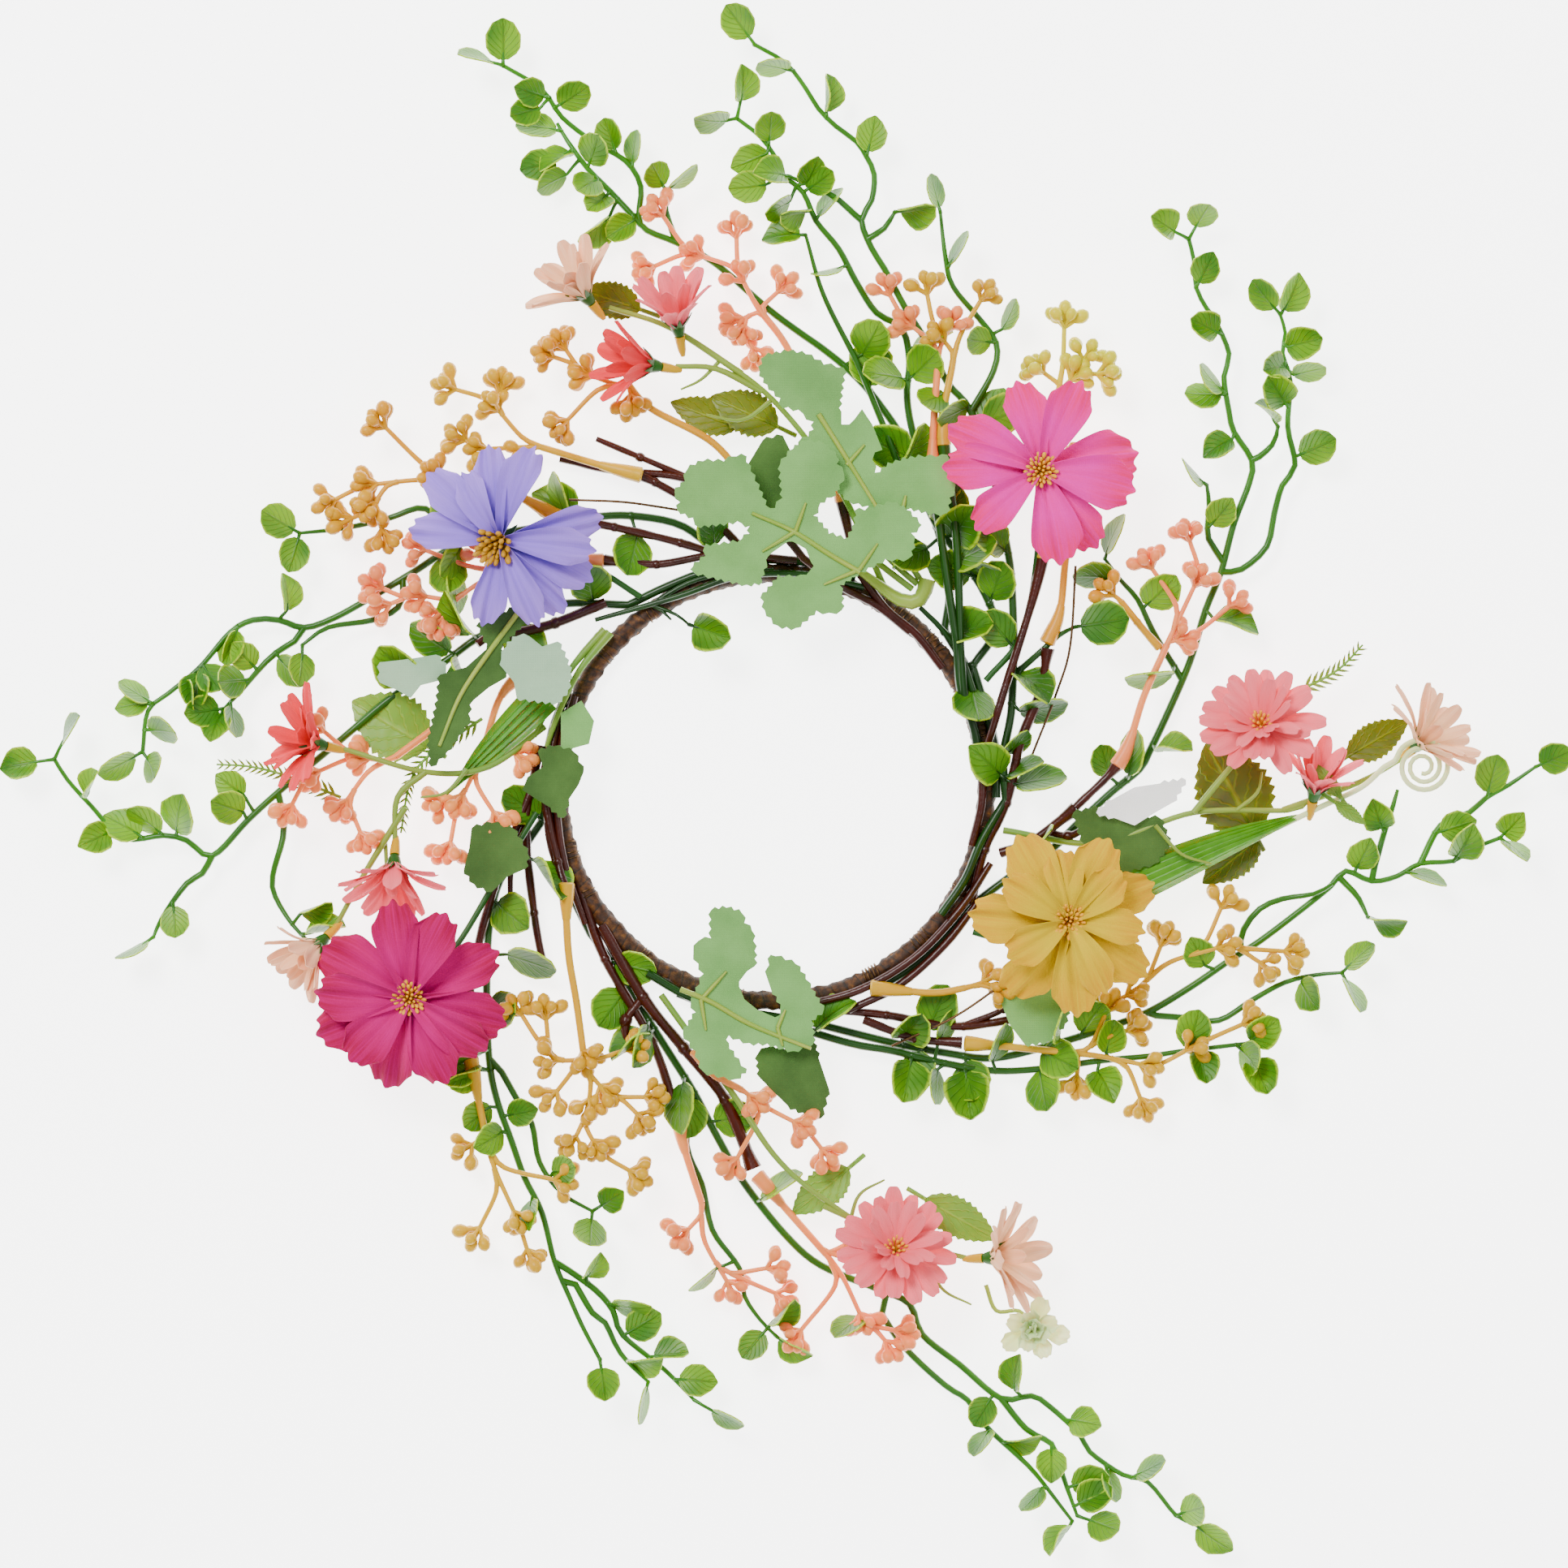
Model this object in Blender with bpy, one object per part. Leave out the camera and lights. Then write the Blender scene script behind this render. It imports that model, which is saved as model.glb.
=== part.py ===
"""A flower crown: a tape-wrapped wire hoop with vines, berry sprays, twigs, blossoms and leaves bound to it.

Metres, +Z up. The origin is the middle of the hoop, on the surface the crown lies on, and the head goes
through along +Z. Layout points are millimetres seen from above, drawn for a hoop of LAYOUT_RING;
place() carries them out or in with the hoop, so every stem keeps its seat on the tape.
"""

import math

import bmesh
import bpy
from mathutils import Matrix, Vector

MM = 0.001

# Driving dimensions, metres.
RING_RADIUS = 0.0845  # middle of the hoop to the middle of its wire
WIRE_RADIUS = 0.0014  # the steel hoop inside the tape
TAPE_RADIUS = 0.0045  # outside of the wound tape, across its flats
SEAM_DEGREES = 4.0  # where the tape's two ends face each other
BINDING_RADIUS = 0.00045  # the fine wire that ties the stems on
BINDING_PITCH = 0.0016
BINDING_PLAY = 0.0002  # more room under the binding, because its turns are many-sided
GAP = 0.0003  # between pieces that touch
STEM_RADIUS = 0.0015  # vine stems
TWIG_RADIUS = 0.0017
BERRY_STEM_RADIUS = 0.0012
STALK_RADIUS = 0.0012  # flower stalks
LEAF_THICKNESS = 0.0011
LEAF_HALF_WIDTH = 0.0052
LEAF_BEYOND = 0.0066  # how far a leaf's tip reaches past its middle
LEAF_FOOT = 0.0035  # how far a leaf runs back through its stem
CLUSTER_RADIUS = 0.0052
CLUSTER_HALF_HEIGHT = 0.0023
COLLAR_RADIUS = 0.0026
COSMOS_RADIUS = 0.0365
COSMOS_THICKNESS = 0.0022
HEART_RADIUS = 0.0055
HEART_HEIGHT = 0.0070
DAISY_REACH = 0.0270
DAISY_THICKNESS = 0.0040
CLOTH_THICKNESS = 0.0012

LAYOUT_RING = 84.5
LAYOUT_TAPE = 4.5
SEATED = 85.5  # where the root of a stem lies on the ring
SIDES = 8  # of the tape's section
HOOP_SIDES = 6
RING_STEPS = 36
TURN_STEPS = 12  # points in one turn of the binding
STATION = 0.018  # between the points of a stem
SEAM_BEARING = 168.0
BINDINGS = {"binding_wire_bottom": (-64, 4), "binding_wire_right": (4, 3)}  # bearing, turns

# Heights of the storeys that the stems lie in, millimetres above the surface for a tape of LAYOUT_TAPE.
GROUND = 2.3
SECOND = 5.9
THIRD = 9.6
LOW = 10.6
ON_RING = 10.9
MIDDLE = 16.6
UPPER = 21.6
HEADS = 26.6
CLOTH = 25.6
TOP_CLOTH = 29.0
BLOOM = 33.5

# (base colour, roughness, metallic) of each finish.
FINISHES = {
    "steel": ((0.45, 0.45, 0.46), 0.35, 1.0),
    "tape": ((0.16, 0.09, 0.05), 0.75, 0.0),
    "dark_wire": ((0.06, 0.05, 0.05), 0.45, 1.0),
    "green": ((0.05, 0.22, 0.05), 0.4, 0.0),
    "twig_brown": ((0.15, 0.035, 0.02), 0.35, 0.0),
    "yellow": ((0.90, 0.60, 0.06), 0.45, 0.0),
    "orange": ((0.88, 0.36, 0.04), 0.45, 0.0),
    "peach": ((0.90, 0.46, 0.32), 0.45, 0.0),
    "pink": ((0.85, 0.30, 0.28), 0.45, 0.0),
    "lime": ((0.70, 0.72, 0.10), 0.45, 0.0),
    "stalk_green": ((0.28, 0.38, 0.06), 0.45, 0.0),
    "hot_pink": ((0.75, 0.01, 0.22), 0.8, 0.0),
    "magenta": ((0.56, 0.01, 0.12), 0.8, 0.0),
    "sunflower": ((1.00, 0.56, 0.01), 0.8, 0.0),
    "lilac": ((0.40, 0.34, 0.78), 0.8, 0.0),
    "rose": ((0.87, 0.27, 0.34), 0.8, 0.0),
    "coral": ((0.78, 0.17, 0.20), 0.8, 0.0),
    "blush": ((0.94, 0.62, 0.48), 0.8, 0.0),
    "sage": ((0.33, 0.50, 0.36), 0.85, 0.0),
    "olive": ((0.28, 0.28, 0.03), 0.5, 0.0),
    "pale_green": ((0.72, 0.84, 0.50), 0.5, 0.0),
}


def fresh_collection(name):
    """A new collection in the scene."""
    made = bpy.data.collections.new(name)
    bpy.context.scene.collection.children.link(made)
    return made


def finish(name):
    """The material of that finish, made the first time it is asked for."""
    known = bpy.data.materials.get(name)
    if known:
        return known
    colour, roughness, metallic = FINISHES[name]
    made = bpy.data.materials.new(name)
    made.use_nodes = True
    shader = made.node_tree.nodes["Principled BSDF"]
    shader.inputs["Base Color"].default_value = (*colour, 1.0)
    shader.inputs["Roughness"].default_value = roughness
    shader.inputs["Metallic"].default_value = metallic
    return made


def place(x, y, height=0.0):
    """A layout point in metres, carried outwards as the hoop or its tape grows, and up with the tape."""
    reach = math.hypot(x, y)
    outward = RING_RADIUS + (reach - LAYOUT_RING) * MM
    if reach > LAYOUT_RING:
        outward += TAPE_RADIUS - LAYOUT_TAPE * MM
    lift = height * MM * TAPE_RADIUS / (LAYOUT_TAPE * MM)
    return Vector((x / reach * outward, y / reach * outward, lift))


def smooth_line(corners, step=STATION):
    """Points of a smooth curve through the corners, about one step apart."""
    padded = [corners[0] * 2 - corners[1], *corners, corners[-1] * 2 - corners[-2]]
    line = [corners[0]]
    for a, b, c, d in zip(padded, padded[1:], padded[2:], padded[3:]):
        count = max(1, round((c - b).length / step))
        for k in range(1, count + 1):
            t = k / count
            even = (c - a) * t + (2 * a - 5 * b + 4 * c - d) * t**2 + (3 * b - 3 * c + d - a) * t**3
            line.append(b + even / 2)
    return line


def as_mesh_object(name, maker):
    """A mesh object of what maker puts in a bmesh."""
    grid = bmesh.new()
    maker(grid)
    bmesh.ops.recalc_face_normals(grid, faces=grid.faces)
    mesh = bpy.data.meshes.new(name)
    grid.to_mesh(mesh)
    grid.free()
    return bpy.data.objects.new(name, mesh)


def solidified_curve(name, curve):
    """The curve as a closed mesh object, its caps welded on."""
    guide = bpy.data.objects.new(name + "_guide", curve)
    bpy.context.scene.collection.objects.link(guide)
    bpy.context.view_layer.update()
    evaluated = guide.evaluated_get(bpy.context.evaluated_depsgraph_get())
    mesh = bpy.data.meshes.new_from_object(evaluated)
    bpy.data.objects.remove(guide)
    bpy.data.curves.remove(curve)
    grid = bmesh.new()
    grid.from_mesh(mesh)
    bmesh.ops.remove_doubles(grid, verts=grid.verts, dist=1e-6)
    bmesh.ops.recalc_face_normals(grid, faces=grid.faces)
    grid.to_mesh(mesh)
    grid.free()
    return bpy.data.objects.new(name, mesh)


def tube(name, points, radius, resolution=1, ends=(1.0, 1.0)):
    """A round bar along the points, tapering evenly from one end's share of the radius to the other's."""
    curve = bpy.data.curves.new(name, "CURVE")
    curve.dimensions = "3D"
    curve.bevel_depth = radius
    curve.bevel_resolution = resolution
    curve.use_fill_caps = True
    spline = curve.splines.new("POLY")
    spline.points.add(len(points) - 1)
    for k, point in enumerate(points):
        along = k / (len(points) - 1)
        spline.points[k].co = (*point, 1.0)
        spline.points[k].radius = ends[0] * (1 - along) + ends[1] * along
    return solidified_curve(name, curve)


def flat_plate(name, outline, thickness, middle, hole=0.0):
    """A flat plate of that outline, points round the origin, lifted to middle, with a round hole or none."""
    curve = bpy.data.curves.new(name, "CURVE")
    curve.dimensions = "2D"
    curve.fill_mode = "BOTH"
    curve.extrude = thickness / 2
    rings = [outline]
    if hole:
        rings.append([(hole * math.cos(a * math.tau / 10), hole * math.sin(a * math.tau / 10)) for a in range(10)])
    for ring in rings:
        spline = curve.splines.new("POLY")
        spline.points.add(len(ring) - 1)
        spline.use_cyclic_u = True
        for k, (x, y) in enumerate(ring):
            spline.points[k].co = (x, y, 0.0, 1.0)
    made = solidified_curve(name, curve)
    made.data.transform(Matrix.Translation(middle))
    return made


def leaf_plate(name, stem_point, leaf_point, turn):
    """A six-sided blade from its stem out past its middle, turned a little about its own length."""
    run = leaf_point - stem_point
    run.z = 0
    length = run.length + LEAF_BEYOND + LEAF_FOOT
    heading = math.atan2(run.y, run.x)
    pose = (
        Matrix.Translation(stem_point + run.normalized() * (length / 2 - LEAF_FOOT))
        @ Matrix.Rotation(heading, 4, "Z")
        @ Matrix.Rotation(math.radians(turn), 4, "X")
        @ Matrix.Diagonal((length / 2, LEAF_HALF_WIDTH, LEAF_THICKNESS, 1))
    )

    def blade(grid):
        bmesh.ops.create_cone(
            grid, cap_ends=True, cap_tris=False, segments=6, radius1=1, radius2=1, depth=1, matrix=pose
        )

    return as_mesh_object(name, blade)


def blob(name, middle, size):
    """A faceted ball squashed to that size."""
    pose = Matrix.Translation(middle) @ Matrix.Diagonal((*size, 1))

    def ball(grid):
        bmesh.ops.create_icosphere(grid, subdivisions=1, radius=1, matrix=pose)

    return as_mesh_object(name, ball)


def fuse(name, pieces, material, collection):
    """One body of all the pieces, each of which runs into another."""
    first, *others = pieces
    first.name = name
    collection.objects.link(first)
    if others:
        helpers = fresh_collection("helpers")
        for piece in others:
            helpers.objects.link(piece)
        union = first.modifiers.new("union", "BOOLEAN")
        union.operation = "UNION"
        union.operand_type = "COLLECTION"
        union.collection = helpers
        union.solver = "EXACT"
        bpy.context.view_layer.update()
        evaluated = first.evaluated_get(bpy.context.evaluated_depsgraph_get())
        first.data = bpy.data.meshes.new_from_object(evaluated)
        first.modifiers.clear()
        for piece in others:
            bpy.data.objects.remove(piece)
        bpy.data.collections.remove(helpers)
    first.data.name = name
    first.data.materials.clear()
    first.data.materials.append(finish(material))
    return first


def nearest(point, lines):
    """The point of all the lines that lies nearest, seen from above."""
    return min((p for line in lines for p in line), key=lambda p: (p.xy - point.xy).length)


def climb(route, level):
    """Layout points with their heights: the root lies on top of the ring, the third point is at its storey."""
    share = [0.0, 0.55] + [1.0] * len(route)
    reach = math.hypot(*route[0])
    seat = (route[0][0] * SEATED / reach, route[0][1] * SEATED / reach)
    return [place(x, y, ON_RING + (level - ON_RING) * share[k]) for k, (x, y) in enumerate([seat, *route[1:]])]


def at_level(route, level):
    """Layout points that all lie at one height."""
    return [place(x, y, level) for x, y in route]


def joined_branch(route, level, lines):
    """A side stem that starts on the nearest point of the lines that are there already."""
    points = at_level(route, level)
    points[0] = nearest(points[0], lines)
    return smooth_line(points)


def ring_section(radius, count):
    """The corners of a section with a flat side down, radius across its flats."""
    corner = radius / math.cos(math.pi / count)
    return [
        (corner * math.sin(math.pi * (2 * k + 1) / count), -corner * math.cos(math.pi * (2 * k + 1) / count))
        for k in range(count)
    ]


def hoop_sag():
    """How far a straight step of the hoop falls inside its circle."""
    return RING_RADIUS * (1 - math.cos(math.pi / RING_STEPS))


def make_core_hoop(collection):
    """The steel hoop, a closed ring of round wire."""

    def wire(grid):
        corners = ring_section(WIRE_RADIUS, HOOP_SIDES)
        section = [grid.verts.new((RING_RADIUS + x, 0, TAPE_RADIUS + z)) for x, z in corners]
        loop = [grid.edges.new((a, b)) for a, b in zip(section, section[1:] + section[:1])]
        bmesh.ops.spin(
            grid,
            geom=section + loop,
            axis=(0, 0, 1),
            cent=(0, 0, 0),
            angle=math.tau,
            steps=RING_STEPS,
            use_merge=True,
        )

    made = as_mesh_object("core_hoop", wire)
    made.data.materials.append(finish("steel"))
    collection.objects.link(made)


def waist_radius():
    """The tape's radius across its flats where a binding squeezes it, so that the wire lies flush."""
    return (TAPE_RADIUS - 2 * BINDING_RADIUS - GAP - BINDING_PLAY) * math.cos(math.pi / SIDES)


def binding_span(turns):
    """The bearing that so many turns of binding take, in degrees."""
    return math.degrees(turns * BINDING_PITCH / RING_RADIUS)


def tape_stations():
    """(bearing, radius) along the tape from one side of its seam to the other, squeezed at each binding."""
    swept = 360 - SEAM_DEGREES
    stations = {SEAM_BEARING + swept * k / RING_STEPS: TAPE_RADIUS for k in range(RING_STEPS + 1)}
    margin = math.degrees((BINDING_RADIUS + GAP) / RING_RADIUS)
    for bearing, turns in BINDINGS.values():
        first = bearing % 360 + (360 if bearing % 360 < SEAM_BEARING else 0) - margin
        last = first + binding_span(turns) + 2 * margin
        for known in [b for b in stations if first - 3 * margin < b < last + 3 * margin]:
            del stations[known]
        stations.update({first - margin: TAPE_RADIUS, first: waist_radius()})
        stations.update({last: waist_radius(), last + margin: TAPE_RADIUS})
    return sorted(stations.items())


def make_tape_wrap(collection):
    """The wound tape: a tube round the hoop, open at its seam, with a flat underside to lie on."""
    bore = WIRE_RADIUS / math.cos(math.pi / HOOP_SIDES) + hoop_sag() + GAP / 2

    def tape(grid):
        loops = []
        for bearing, radius in tape_stations():
            turned = Matrix.Rotation(math.radians(bearing), 3, "Z")
            corners = ring_section(radius, SIDES) + ring_section(bore, SIDES)
            loops.append([grid.verts.new(turned @ Vector((RING_RADIUS + x, 0, TAPE_RADIUS + z))) for x, z in corners])
        for k in range(SIDES):
            after = (k + 1) % SIDES
            for here, there in zip(loops, loops[1:]):
                grid.faces.new((here[k], here[after], there[after], there[k]))
                grid.faces.new((here[SIDES + k], there[SIDES + k], there[SIDES + after], here[SIDES + after]))
            for end in (loops[0], loops[-1]):
                grid.faces.new((end[k], end[after], end[SIDES + after], end[SIDES + k]))

    made = as_mesh_object("tape_wrap", tape)
    made.data.materials.append(finish("tape"))
    collection.objects.link(made)


def make_binding(collection, name, bearing, turns):
    """A few turns of fine wire round the tape's waist, starting at that bearing."""
    around = waist_radius() / math.cos(math.pi / SIDES) + GAP + BINDING_PLAY / 2 + BINDING_RADIUS
    points = []
    for k in range(turns * TURN_STEPS + 1):
        swing = math.tau * k / TURN_STEPS
        along = math.radians(bearing) + k / TURN_STEPS * BINDING_PITCH / RING_RADIUS
        outward = RING_RADIUS + around * math.cos(swing)
        height = TAPE_RADIUS + around * math.sin(swing)
        points.append(Vector((outward * math.cos(along), outward * math.sin(along), height)))
    fuse(name, [tube(name, points, BINDING_RADIUS)], "dark_wire", collection)


def make_vine(collection, name, level, main, branches, leaves):
    """A moulded stem with its side stems and the leaves that it carries."""
    lines = [smooth_line(at_level(main, level))]
    for branch in branches:
        lines.append(joined_branch(branch, level, lines))
    pieces = []
    for k, line in enumerate(lines):
        ends = (1.0, 0.62) if k == 0 else (0.72, 0.5)
        pieces.append(tube(f"{name}_stem_{k}", line, STEM_RADIUS, 1, ends))
    for k, (x, y) in enumerate(leaves):
        middle = place(x, y, level)
        stem_point = nearest(middle, lines)
        pieces.append(leaf_plate(f"{name}_leaf_{k}", stem_point, middle, 9 if k % 2 else -9))
    fuse(name, pieces, "green", collection)


def make_berry_spray(collection, name, material, level, stem, clusters):
    """A berry spray: a stalk with a flared collar, and a side stalk to each cluster."""
    line = smooth_line(climb(stem, level))
    pieces = [tube(f"{name}_stem", line, BERRY_STEM_RADIUS * 1.2)]
    collar = [line[-2], (line[-2] + line[-1]) / 2]
    pieces.append(tube(f"{name}_collar", collar, COLLAR_RADIUS, 1, (0.55, 1.0)))
    for k, (x, y) in enumerate(clusters):
        middle = place(x, y, level)
        others = [place(a, b, level) for a, b in clusters[:k]]
        foot = nearest(middle, [line[-2:], [p for p in others if (p - middle).length > CLUSTER_RADIUS]])
        pieces.append(tube(f"{name}_side_{k}", [foot, middle], BERRY_STEM_RADIUS, 0))
        size = (CLUSTER_RADIUS, CLUSTER_RADIUS, CLUSTER_HALF_HEIGHT)
        pieces.append(blob(f"{name}_cluster_{k}", middle, size))
    fuse(name, pieces, material, collection)


def make_twig(collection, name, level, main, fork):
    """A brown twig with one fork."""
    lines = [smooth_line(at_level(main, level))]
    lines.append(joined_branch(fork, level, lines))
    pieces = [tube(f"{name}_{k}", line, TWIG_RADIUS, 1, (1.0, 0.75)) for k, line in enumerate(lines)]
    fuse(name, pieces, "twig_brown", collection)


def petal_outline(petals, reach, dip, first=0.0, swing=math.tau):
    """The outline of petals round a centre, with a dip between each pair."""
    outline = []
    for k in range(petals):
        for share, length in ((0.0, dip), (0.22, 0.93), (0.5, 1.0), (0.78, 0.93)):
            angle = first + swing * (k + share) / petals
            outline.append((reach * length * math.cos(angle), reach * length * math.sin(angle)))
    return outline


def make_cosmos(collection, name, material, at, stalk, petals):
    """A cosmos: one cloth blossom with a hole, and its heart, whose stalk comes up through the hole."""
    middle = place(*at, BLOOM)
    bore = STALK_RADIUS + GAP
    outline = petal_outline(petals, COSMOS_RADIUS, 0.55)
    blossom = flat_plate(f"{name}_petals", outline, COSMOS_THICKNESS, middle, hole=bore / math.cos(math.pi / 10))
    fuse(f"{name}_petals", [blossom], material, collection)
    seat = middle + Vector((0, 0, COSMOS_THICKNESS / 2 + GAP))
    below = middle - Vector((0, 0, 4 * STALK_RADIUS))
    line = smooth_line([*climb(stalk, UPPER), below])
    heart = as_mesh_object(
        f"{name}_heart",
        lambda grid: bmesh.ops.create_cone(
            grid,
            cap_ends=True,
            segments=10,
            radius1=HEART_RADIUS * 0.7,
            radius2=HEART_RADIUS,
            depth=HEART_HEIGHT,
            matrix=Matrix.Translation(seat + Vector((0, 0, HEART_HEIGHT / 2))),
        ),
    )
    upright = tube(f"{name}_upright", [below, seat + Vector((0, 0, HEART_HEIGHT / 2))], STALK_RADIUS)
    fuse(f"{name}_heart", [heart, upright, tube(f"{name}_stalk", line, STALK_RADIUS)], "stalk_green", collection)


def make_daisy_head(collection, name, material, at, facing, spread=150, petals=7):
    """A daisy seen from its side: a fan of cloth petals that opens towards facing, in degrees."""
    first = math.radians(facing - spread / 2)
    fan = petal_outline(petals, DAISY_REACH, 0.6, first, math.radians(spread))
    last = math.radians(facing + spread / 2)
    fan.append((DAISY_REACH * 0.5 * math.cos(last), DAISY_REACH * 0.5 * math.sin(last)))
    fan.append((0.0, 0.0))
    fuse(name, [flat_plate(name, fan, DAISY_THICKNESS, place(*at, HEADS))], material, collection)


def make_daisy_stalks(collection, name, main, forks):
    """The stalks of one daisy spray, each ending just under its blossom."""
    lines = [smooth_line(climb(main, UPPER))]
    for fork in forks:
        lines.append(joined_branch(fork, UPPER, lines))
    pieces = [tube(f"{name}_{k}", line, STALK_RADIUS) for k, line in enumerate(lines)]
    fuse(name, pieces, "stalk_green", collection)


def make_lobed_leaf(collection, name, material, foot, tip, half_width, height, lobes=3, thickness=CLOTH_THICKNESS):
    """A flat leaf from foot to tip with deep lobes on both sides, or none."""
    start = place(*foot, height)
    end = place(*tip, height)
    along = end - start
    across = Vector((-along.y, along.x, 0)).normalized()
    edge = []
    for k in range(lobes * 2 + 1):
        share = (k + 0.5) / (lobes * 2 + 1)
        width = half_width * MM * (math.sin(math.pi * min(1, share * 1.05)) ** 0.6)
        edge.append((share, width * (1.0 if k % 2 == 0 else 0.5)))
    left = [start + along * share + across * width for share, width in edge]
    right = [start + along * share - across * width for share, width in reversed(edge)]
    outline = [(p.x, p.y) for p in (start, *left, end, *right)]
    plate = flat_plate(name, outline, thickness, Vector((0, 0, start.z)))
    fuse(name, [plate], material, collection)


def make_curl(collection):
    """A pale tendril that leans on the right daisy stalks and ends in a flat spiral."""
    centre = place(254, 8, MIDDLE)
    points = [place(x, y, MIDDLE) for x, y in ((206, -13), (218, -8), (230, 0), (239, 10))]
    for k in range(13):
        angle = math.radians(165 - 60 * k)
        out = (11 - 0.72 * k) * MM
        points.append(centre + Vector((out * math.cos(angle), out * math.sin(angle), 0)))
    fuse("curl_tendril", [tube("curl_tendril", points, STALK_RADIUS * 0.8)], "pale_green", collection)


def make_grass(collection):
    """A flat bundle of grass blades that tapers outwards."""
    line = smooth_line(climb([(90, -27), (112, -36), (137, -38), (175, -26), (213, -9)], CLOTH))
    fuse("grass_blades", [tube("grass_blades", line, 0.0024, 1, (0.8, 0.5))], "green", collection)


def make_vines(collection):
    """The ten vines, from the top left round to the left."""
    make_vine(
        collection, "vine_top_left", GROUND,
        [(68, 62), (69, 84), (65, 103), (54, 133), (31, 164), (-2, 189), (-52, 222), (-70, 254), (-106, 284)],
        [[(-52, 222), (-64, 235), (-85, 262)]],
        [(-118, 287), (-106, 290), (-98, 265), (-82, 262), (-88, 238), (-62, 249), (-39, 235)],
    )
    make_vine(
        collection, "vine_top_middle", SECOND,
        [(79, 48), (86, 76), (75, 92), (59, 117), (53, 157), (41, 187), (12, 234), (-5, 256), (-12, 270)],
        [[(59, 117), (49, 129), (33, 168), (13, 217), (12, 234)]],
        [(-11, 277), (-26, 260), (1, 226), (21, 227), (-9, 246)],
    )
    make_vine(
        collection, "vine_top_right", THIRD,
        [(92, 1), (94, 29), (96, 64), (92, 97), (78, 148), (62, 173), (44, 204), (35, 223), (40, 241), (13, 275),
         (-7, 292)],
        [[(78, 148), (88, 170), (71, 197), (66, 226)], [(35, 223), (23, 233), (7, 240)]],
        [(-14, 299), (7, 279), (49, 229), (64, 232), (94, 186), (37, 252), (69, 206)],
    )
    make_vine(
        collection, "vine_right_high", GROUND,
        [(81, -45), (119, -16), (149, 14), (171, 70), (191, 129), (180, 148), (174, 185), (164, 216)],
        [[(177, 85), (198, 108), (203, 142), (200, 186)]],
        [(152, 222), (170, 227), (193, 194), (204, 193), (165, 123), (175, 153), (211, 131), (212, 164)],
    )
    make_vine(
        collection, "vine_right_low", GROUND,
        [(15, -92), (47, -101), (88, -107), (132, -95), (181, -68), (226, -33), (255, -30), (286, -20)],
        [[(255, -30), (263, -15), (300, 8)], [(148, -89), (189, -84), (224, -73)]],
        [(291, -14), (292, -24), (306, 11), (240, -19), (231, -66), (229, -83), (281, -4), (234, -45)],
    )
    make_vine(
        collection, "vine_bottom_right", SECOND,
        [(0, -92), (30, -104), (68, -112), (108, -114), (149, -106), (187, -101)],
        [],
        [(64, -117), (133, -98), (169, -111), (192, -113), (194, -94)],
    )
    make_vine(
        collection, "vine_bottom_long", GROUND,
        [(-72, -58), (-55, -83), (-31, -121), (5, -177), (54, -204), (90, -241), (125, -262), (166, -290)],
        [[(68, -222), (77, -242), (104, -271), (118, -289)], [(-29, -124), (-33, -146), (-13, -190), (1, -216)]],
        [(172, -295), (163, -284), (132, -265), (113, -297), (130, -290), (81, -259), (5, -219), (-27, -195)],
    )
    make_vine(
        collection, "vine_bottom_left", GROUND,
        [(-91, -13), (-108, -37), (-113, -80), (-103, -140), (-86, -187), (-68, -225)],
        [[(-86, -187), (-63, -206), (-31, -241)]],
        [(-66, -236), (-17, -249), (-37, -233), (-117, -130), (-80, -150), (-113, -140), (-62, -201)],
    )
    make_vine(
        collection, "vine_left_high", GROUND,
        [(-20, 91), (-52, 107), (-97, 102), (-142, 85), (-185, 63), (-226, 47), (-246, 30), (-248, 14)],
        [[(-142, 85), (-157, 66), (-185, 56), (-216, 31)], [(-137, 86), (-152, 100), (-186, 100)]],
        [(-258, 8), (-242, 6), (-219, 24), (-195, 105), (-188, 92), (-191, 77), (-229, 39), (-213, 67)],
    )
    make_vine(
        collection, "vine_left_low", SECOND,
        [(-57, 72), (-86, 70), (-129, 50), (-170, 19), (-221, -27), (-256, -20), (-283, 11)],
        [[(-221, -27), (-241, -52), (-244, -59)], [(-195, -4), (-196, -43), (-182, -61)]],
        [(-297, 9), (-275, 27), (-252, -65), (-232, -12), (-268, -21), (-179, -47)],
    )


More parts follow.
